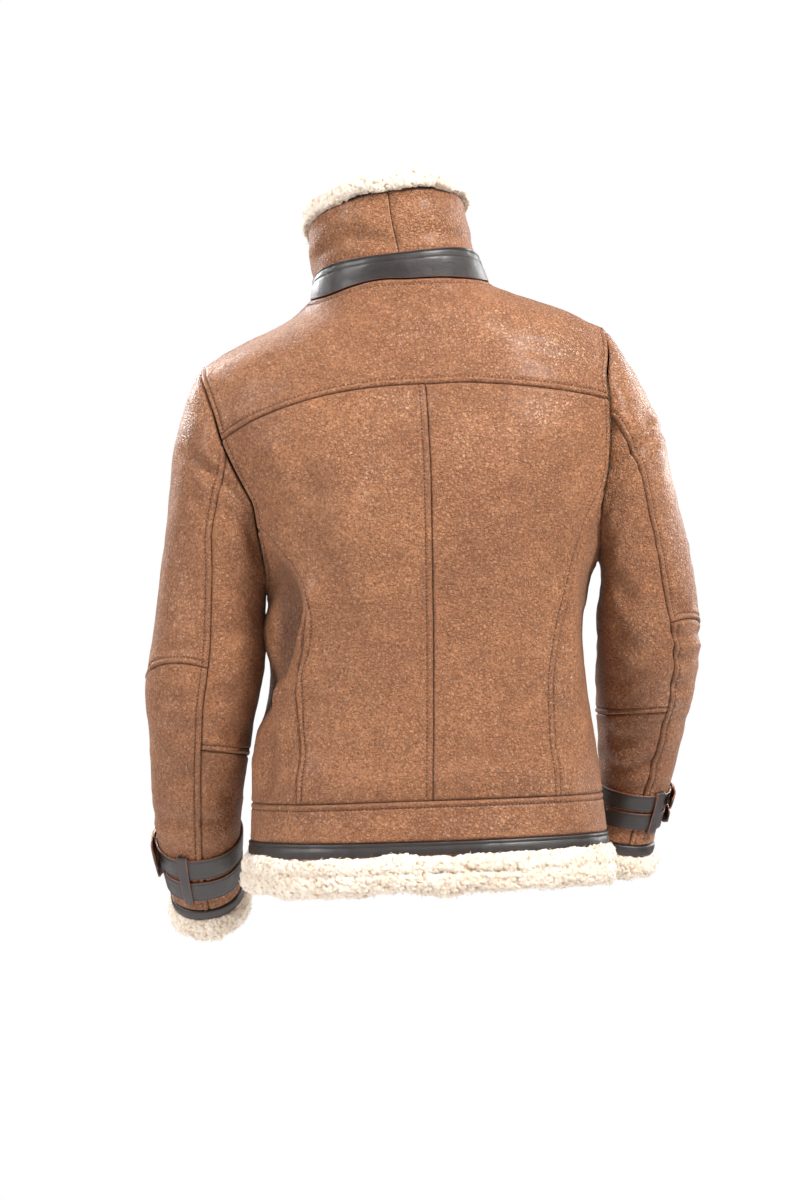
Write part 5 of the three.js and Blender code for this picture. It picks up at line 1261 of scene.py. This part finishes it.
def row_of_stitches(form, a, b, n, T_hint, pitch, length, key="dark_thread"):
    P0 = FORM[form].at(a, b, n)
    L = np.concatenate([[0], np.cumsum(np.linalg.norm(np.diff(P0, axis=0), axis=1))])
    at = np.arange(2, L[-1] - 2, pitch)
    A, B = np.interp(at, L, a), np.interp(at, L, b)
    P = FORM[form].at(A, B, n)
    T = unit(np.stack([np.interp(at + 0.8, L, P0[:, i]) - np.interp(at - 0.8, L, P0[:, i]) for i in range(3)], -1))
    return P, T, FORM[form].normal(A, B), length

DARK_STITCHES, LIGHT_STITCHES = [], []
# collar band: h 0.05 to 0.28; about 26 mm wide
w_mm = 30.0
sec, edge = dark_section(w_mm, BAND, 0.9, 0.3, (), 40)
x = sec[:, 0] / w_mm
lift = 0.35 * bell(x * w_mm, w_mm * 0.5, 8) - 0.6 * bell(x * w_mm, w_mm - 2.6, 0.75) - 0.6 * bell(x * w_mm, w_mm - 9.2, 0.75) 
top_side = sec[:, 1] > BAND * 0.75
qs = np.linspace(C0 + 0.004, C1 - 0.004, 380)
A = np.broadcast_to(qs[:, None], (len(qs), len(x)))
Bh = 0.004 + 0.276 * np.broadcast_to(x, A.shape)
Nn = 0.4 + np.broadcast_to(sec[:, 1] + lift * top_side, A.shape)
P = FORM["collar"].at(A, Bh, 0.0, folds=False)
ripple = (noise(P, 17, 44) * 0.7 + noise(P, 8, 45) * 0.22)
Nn = Nn + np.maximum(ripple, -0.5) * np.broadcast_to(top_side, A.shape) * 0.8
sweep("collar_strap", FORM["collar"].at(A, Bh, Nn), "dark", ["collar_band"], fields=dict(line=np.broadcast_to(edge, A.shape)))
for off in (2.6, 9.2):
    DARK_STITCHES.append(row_of_stitches("collar", qs, np.full(qs.shape, 0.28 - 0.276 * off / w_mm), 0.4 + BAND + 0.05, None, 3.2, 2.2))

# hem binding: soft roll with one stitch row near its upper edge
qs = np.linspace(lerp(FRONT, A0, 0.5) + 0.001, lerp(FRONT + TURN, A1, 0.5) - 0.001, 560)
prof = [[1.0, -WALL - 1], [1.0, 0.2], [0.96, 1.5], [0.88, 1.95], [0.80, 1.75], [0.74, 1.25], [0.68, 1.7], [0.5, 2.35], [0.3, 2.35], [0.12, 1.95], [0.03, 1.2], [0.0, 0.2], [0.0, -WALL - 1]]
prof = np.array(prof)
dense = np.linspace(0, len(prof) - 1, 30)
prof = np.stack([np.interp(dense, np.arange(len(prof)), prof[:, i]) for i in (0, 1)], -1)
A = np.broadcast_to(qs[:, None], (len(qs), len(prof)))
Bz = lerp(bind_low(A) + 0.17, bind_top(A) - 0.17, np.broadcast_to(prof[:, 0], A.shape))
P = body(A, Bz)
Nn = np.broadcast_to(prof[:, 1], A.shape) + np.where(prof[:, 1] > 0.5, 1, 0) * (noise(P, 19, 46) * 0.5 + noise(P, 8, 47) * 0.2)
edge = np.where((prof[:, 0] < 0.08) & (prof[:, 1] > -1), 0.9, 0.0)
sweep("hem_band", FORM["body"].at(A, Bz, Nn), "dark", ["hem_binding"], fields=dict(line=np.broadcast_to(edge, A.shape)))
qz = lerp(bind_low(qs), bind_top(qs), 0.74)
DARK_STITCHES.append(row_of_stitches("body", qs, qz, 1.45, None, 3.4, 2.3))

for side in ("left", "right"):
    L, F = LEN[side], FORM[side]
    bt, bl = L["bind"]
    ph = np.linspace(0, 360, 240, endpoint=False)
    prof = even([[bt + 0.2, -WALL - 0.5], [bt + 0.2, 1.0], [lerp(bt, bl, 0.28), 2.1], [(bt + bl) / 2, 2.4], [lerp(bt, bl, 0.75), 2.1], [bl - 0.2, 1.0], [bl - 0.2, -WALL - 0.5]], 34)
    A = np.broadcast_to(ph[:, None], (len(ph), len(prof)))
    P = F.f(A, np.broadcast_to(prof[:, 0], A.shape))
    Nn = np.broadcast_to(prof[:, 1], A.shape) + np.where(prof[:, 1] > 0.5, 1, 0) * noise(P, 13, 48) * 0.4
    sweep(f"cuff_{side}_band", F.at(A, np.broadcast_to(prof[:, 0], A.shape), Nn), "dark", [f"cuff_{side}_binding"], True,
          fields=dict(line=np.broadcast_to(np.where(prof[:, 0] > bl - 1.2, 0.8, 0.0), A.shape)))
    for k, (t0, t1) in enumerate(L["straps"]):
        B, w = L["buckles"][k], t1 - t0
        ph = np.linspace(B - 28, B + 402, 210)
        over = np.clip((ph - (B + 308)) / 16, 0, 1)
        tip = np.clip((ph - (B + 374)) / 28, 0, 1)
        pinch = np.where(tip > 0.5, (tip - 0.5) * 9, 0)
        sec, edge = dark_section(w, STRAP - 0.25, 0.9, 0.35, (2.2, w - 2.2), 20)
        x = sec[:, 0] / w
        T = t0 + pinch[:, None] + x[None] * (w - 2 * pinch[:, None])
        A = np.broadcast_to(ph[:, None], T.shape)
        P = F.f(A, T)
        bend = noise(P, 22, 51 + k) * 0.35 * (sec[:, 1] > 1)
        Nn = 0.8 + 5.3 * over[:, None] + 3 * tip[:, None] + sec[None, :, 1] + bend
        sweep(f"cuff_{side}_strap_{k + 1}_leather", F.at(A, T, Nn), "dark", [f"cuff_{side}_strap_{k + 1}"], fields=dict(line=np.broadcast_to(edge, A.shape)))
        # buckle: a round-cornered frame with its prong
        e = float(np.linalg.norm(F.f(B + 0.5, t0) - F.f(B - 0.5, t0)))
        hw, corner, a0, a1 = 9 / e, 2.6, t0 - 1.5, t1 + 1.5
        pp, tt, dd = [], [], []
        for cp, ct, s0 in ((1, 1, 0), (-1, 1, 90), (-1, -1, 180), (1, -1, 270)):
            for d in np.linspace(0, 90, 7):
                pp.append(B + cp * (hw - corner / e) + corner / e * math.cos(math.radians(s0 + d)))
                tt.append((a1 - corner if ct > 0 else a0 + corner) + corner * math.sin(math.radians(s0 + d)))
                dd.append(s0 + d)
        pp, tt, dd = np.array(pp)[:, None], np.array(tt)[:, None], rad(np.array(dd))[:, None]
        g = rad(np.linspace(0, 360, 12, endpoint=False))[None]
        o, n = 0.95 * np.cos(g), 4.75 + 0.8 * np.sin(g)
        frame_P = F.at(pp + o * np.cos(dd) / e, tt + o * np.sin(dd), n + 0 * pp)
        sweep(f"cuff_{side}_buckle_{k + 1}_frame", frame_P, "brass", [f"cuff_{side}_buckle_{k + 1}"], True)
        along = np.linspace(-1.02, 1.08, 16)[:, None]
        mid_t = (t0 + t1) / 2
        pa = B + hw * along + 0 * g
        prong = F.at(pa + 0 * g, mid_t + 0.75 * np.cos(g) + 0 * along, 6.3 + 0.75 * np.sin(g) + 1.5 * np.exp(-((along - 0.0) / 0.9) ** 2))
        sweep(f"cuff_{side}_buckle_{k + 1}_prong", prong, "brass", [])
    # keeper
    K, t0, t1 = L["keeper"], L["straps"][0][0] - 2.4, L["straps"][1][1] + 2.4
    e = float(np.linalg.norm(F.f(K + 0.5, t0) - F.f(K - 0.5, t0)))
    ks = even([[t0 - 2, 0.8], [t0 - 2.1, 2.6], [t0 - 1.4, 4.6], [t0 + 1.2, 5.7], [(t0 + t1) / 2, 5.9], [t1 - 1.2, 5.7], [t1 + 1.4, 4.6], [t1 + 2.1, 2.6], [t1 + 2, 0.8], [t1 + 0.2, 0.8], [t1, 3.6], [t1 - 1, 4.25], [(t0 + t1) / 2, 4.35], [t0 + 1, 4.25], [t0, 3.6], [t0 - 0.2, 0.8]], 90)
    ph = np.linspace(K - 5.5 / e, K + 5.5 / e, 9)
    A = np.broadcast_to(ph[:, None], (9, len(ks)))
    round_off = np.where(np.abs(np.linspace(-1, 1, 9)) > 0.95, -0.35, 0.0)[:, None]
    Nn = np.broadcast_to(ks[:, 1], A.shape) + round_off * (ks[:, 1] > 4.7)
    line_k = np.broadcast_to((np.abs(np.linspace(-1, 1, 9)) > 0.95)[:, None] * 0.8, A.shape)
    sweep(f"cuff_{side}_loop", F.at(A, np.broadcast_to(ks[:, 0], A.shape), Nn), "dark", [f"cuff_{side}_keeper"], fields=dict(line=line_k))

# light thread beside the collar's centre seam
hs = np.linspace(0.31, 0.99, 60)
LIGHT_STITCHES.append(row_of_stitches("collar", np.full(hs.shape, CB - rad(0.9)), hs, 0.1, None, 2.6, 2.2))

def thread_mesh(name, groups, key, radius=0.42):
    P, T, N = (np.concatenate([g[i] for g in groups]) for i in range(3))
    length = np.concatenate([np.full(len(g[0]), g[3]) for g in groups])
    n, B = len(P), unit(np.cross(N, T))
    rings = []
    for s, r, dip in ((-0.5, 0.25, -0.45), (-0.22, 1.0, 0.12), (0.22, 1.0, 0.12), (0.5, 0.25, -0.45)):
        for g in range(5):
            al = 2 * math.pi * g / 5 + 0.3
            rings.append(P + T * (s * length)[:, None] + N * dip + (B * math.cos(al) + N * math.sin(al)) * (radius * r))
    V = np.stack(rings, 1)
    base = (np.arange(n) * 20)[:, None]
    quads = np.concatenate([base + np.array([[5 * k + g, 5 * k + (g + 1) % 5, 5 * k + 5 + (g + 1) % 5, 5 * k + 5 + g]]) for k in range(3) for g in range(5)])
    ends = np.concatenate([base + np.array([[4, 3, 2, 1, 0]]), base + np.array([[15, 16, 17, 18, 19]])])
    return build(name, V.reshape(-1, 3), [quads, ends], [key])
# a near-black strip under each seam gap: painted shade in the gaps
def allowance_shade_mesh():
    V, Q, n = [], [], 0
    for P1, T1, S1, N1, H1 in ALLOWANCE_SHADE:
        rows = np.stack([P1 + S1 * w + N1 * (H1 - d)[:, None] for w, d in ((-3.4, 3.0), (0, 2.3), (3.4, 3.0), (3.2, 3.9), (0, 3.6), (-3.2, 3.9))], 1)
        k = len(rows)
        at = n + np.arange(k * 6).reshape(k, 6)
        q = np.stack([at[:-1], np.roll(at, -1, 1)[:-1], np.roll(at, -1, 1)[1:], at[1:]], -1).reshape(-1, 4)
        V.append(rows.reshape(-1, 3))
        Q.append(q)
        Q.append(at[:1, :4][:, ::-1])
        n += k * 6
    return build("seam_allowance", np.concatenate(V), [np.concatenate(Q)], ["dark"])
allowance_shade_mesh()
thread_mesh("seam_stitches", STITCHES, "thread", 0.62)
thread_mesh("band_stitches", DARK_STITCHES, "dark_thread", 0.38)
thread_mesh("collar_stitches", LIGHT_STITCHES, "light_thread", 0.5)

# ------------------------------------------------------------------------- front zip
ZIP0, ZIP1 = float(bind_top(FRONT)) + 1, ZIP_TOP
def zip_angle(sign, x, z):
    cx = BODY["cx"](z)
    return FRONT + sign * x / np.where(sign > 0, BODY["xl"](z) - cx, cx - BODY["xr"](z))
for side, s in (("left", 1), ("right", -1)):
    zs = np.linspace(ZIP0, ZIP1, 190)
    xs = np.array([0.16, 0.5, 1.2, 2.2, 2.6, 2.75, 4, 7, 10, 13, 14, 14, 10, 7, 4, 2.6, 1.2, 0.16])
    ns = np.array([-2.3, -2.2, -2.2, -2.2, -2.4, -7.2, -7.4, -7.4, -7.4, -7.4, -7.5, -8.6, -8.6, -8.6, -8.6, -8.6, -8.6, -8.6])
    Zz, X = np.meshgrid(zs, xs, indexing="ij")
    Nn = np.broadcast_to(ns, X.shape) - np.where(X > 5, 0.12, 0)
    tape_obj = sweep(f"zip_tape_{side}_cloth", FORM["body"].at(zip_angle(s, X, Zz), Zz, Nn), "tape", [f"zip_tape_{side}"])
    # teeth: one every 3 mm, the two sides half a step apart
    zt = np.arange(ZIP0 + 3 + (0 if s > 0 else 1.5), ZIP1 - 2, 3.0)
    zt = zt[np.abs(zt - SLIDER_Z) > 7.5]
    cx = np.array([-0.5, 0.2, 0.9, 1.5, 1.5, 0.9, 0.2, -0.5])
    prof_x = np.array([0.25, 1.0, 2.2, 3.1, 3.1, 2.2, 1.0, 0.25])
    prof_z = np.array([0.45, 0.85, 0.95, 0.6, -0.6, -0.95, -0.85, -0.45])
    rows = []
    for lift, shrink in ((-2.1, 1.0), (-1.35, 1.0), (-1.1, 0.8)):
        X = prof_x[None] * 1.0 + (1 - shrink) * (1.6 - prof_x[None])
        Zt = zt[:, None] + prof_z[None] * shrink
        rows.append(FORM["body"].at(zip_angle(s, X + 0 * Zt, Zt), Zt, lift))
    V = np.concatenate(rows, 1)
    base = (np.arange(len(zt)) * 24)[:, None]
    quads = np.concatenate([base + np.array([[8 * k + g, 8 * k + (g + 1) % 8, 8 * k + 8 + (g + 1) % 8, 8 * k + 8 + g]]) for k in range(2) for g in range(8)])
    ends = np.concatenate([base + np.array([[7, 6, 5, 4, 3, 2, 1, 0]]), base + np.array([[16, 17, 18, 19, 20, 21, 22, 23]])])
    if s > 0:
        quads, ends = quads[:, ::-1], ends[:, ::-1]
    build(f"zip_teeth_{side}", V.reshape(-1, 3), [quads, ends], ["brass"])
for node in ("zip_slider", "zip_pull"):
    o = bpy.data.objects[node]
    for i in range(len(o.material_slots)):
        o.material_slots[i].material = MATERIALS["brass"]
    if not o.material_slots:
        o.data.materials.append(MATERIALS["brass"])

# ------------------------------------------------------------------- the soft pieces' sizes, worked out but not used
for name, p in panels.items():
    w, l = float(np.max(p.cols)) / 1000, float(np.max(p.rows)) / 1000

# --------------------------------------------------------------- floor, light, camera
FLOOR_Z = -1.50
bpy.ops.mesh.primitive_plane_add(size=3.4, location=(0, 0, FLOOR_Z))
floor = bpy.context.active_object
floor.name = "studio_floor"
fm = bpy.data.materials.new("studio_floor")
fm.use_nodes = True
fb = fm.node_tree.nodes["Principled BSDF"]
fb.inputs["Base Color"].default_value = (0.86, 0.86, 0.86, 1)
fb.inputs["Roughness"].default_value = 0.9
floor.data.materials.append(fm)

world = bpy.data.worlds.new("studio") if not bpy.context.scene.world else bpy.context.scene.world
bpy.context.scene.world = world
world.use_nodes = True
wn, wl = world.node_tree.nodes, world.node_tree.links
wn.clear()
path, sky, plain, both_w, wo = wn.new("ShaderNodeLightPath"), wn.new("ShaderNodeBackground"), wn.new("ShaderNodeBackground"), wn.new("ShaderNodeMixShader"), wn.new("ShaderNodeOutputWorld")
sky.inputs["Color"].default_value, sky.inputs["Strength"].default_value = (1.0, 0.99, 0.98, 1), 0.36
plain.inputs["Color"].default_value, plain.inputs["Strength"].default_value = (1, 1, 1, 1), 1.0
wl.new(path.outputs["Is Camera Ray"], both_w.inputs[0])
wl.new(sky.outputs[0], both_w.inputs[1])
wl.new(plain.outputs[0], both_w.inputs[2])
wl.new(both_w.outputs[0], wo.inputs[0])

def area_light(name, at, aim, size, power, colour=(1, 1, 1)):
    data = bpy.data.lights.new(name, "AREA")
    data.shape, data.size, data.energy, data.color = "SQUARE", size, power, colour
    o = bpy.data.objects.new(name, data)
    bpy.context.scene.collection.objects.link(o)
    o.location = at
    o.rotation_euler = (Vector(aim) - Vector(at)).to_track_quat("-Z", "Y").to_euler()
    return o
area_light("key", (-1.7, 1.65, 1.85), (0, 0, -0.1), 0.8, 172, (1.0, 0.985, 0.965))
area_light("fill", (2.1, 1.3, 0.7), (0, 0, -0.3), 1.0, 58)
area_light("front_key", (1.6, -2.0, 1.0), (0, 0, -0.3), 1.0, 90)
area_light("front_fill", (-1.8, -1.8, 0.3), (0, 0, -0.3), 1.4, 40)

cam_data = bpy.data.cameras.new("camera")
cam_data.sensor_fit, cam_data.sensor_height, cam_data.sensor_width = "VERTICAL", 36.0, 36.0
cam_data.lens = 3000.0 * 36.0 / (1200 * UNIT)
cam = bpy.data.objects.new("camera", cam_data)
bpy.context.scene.collection.objects.link(cam)
cam.location = (0, 3.0, EYE_Z / 1000)
cam.rotation_euler = (math.radians(90), 0, math.radians(180))
bpy.context.scene.camera = cam
bpy.context.scene.view_settings.view_transform = "Standard"
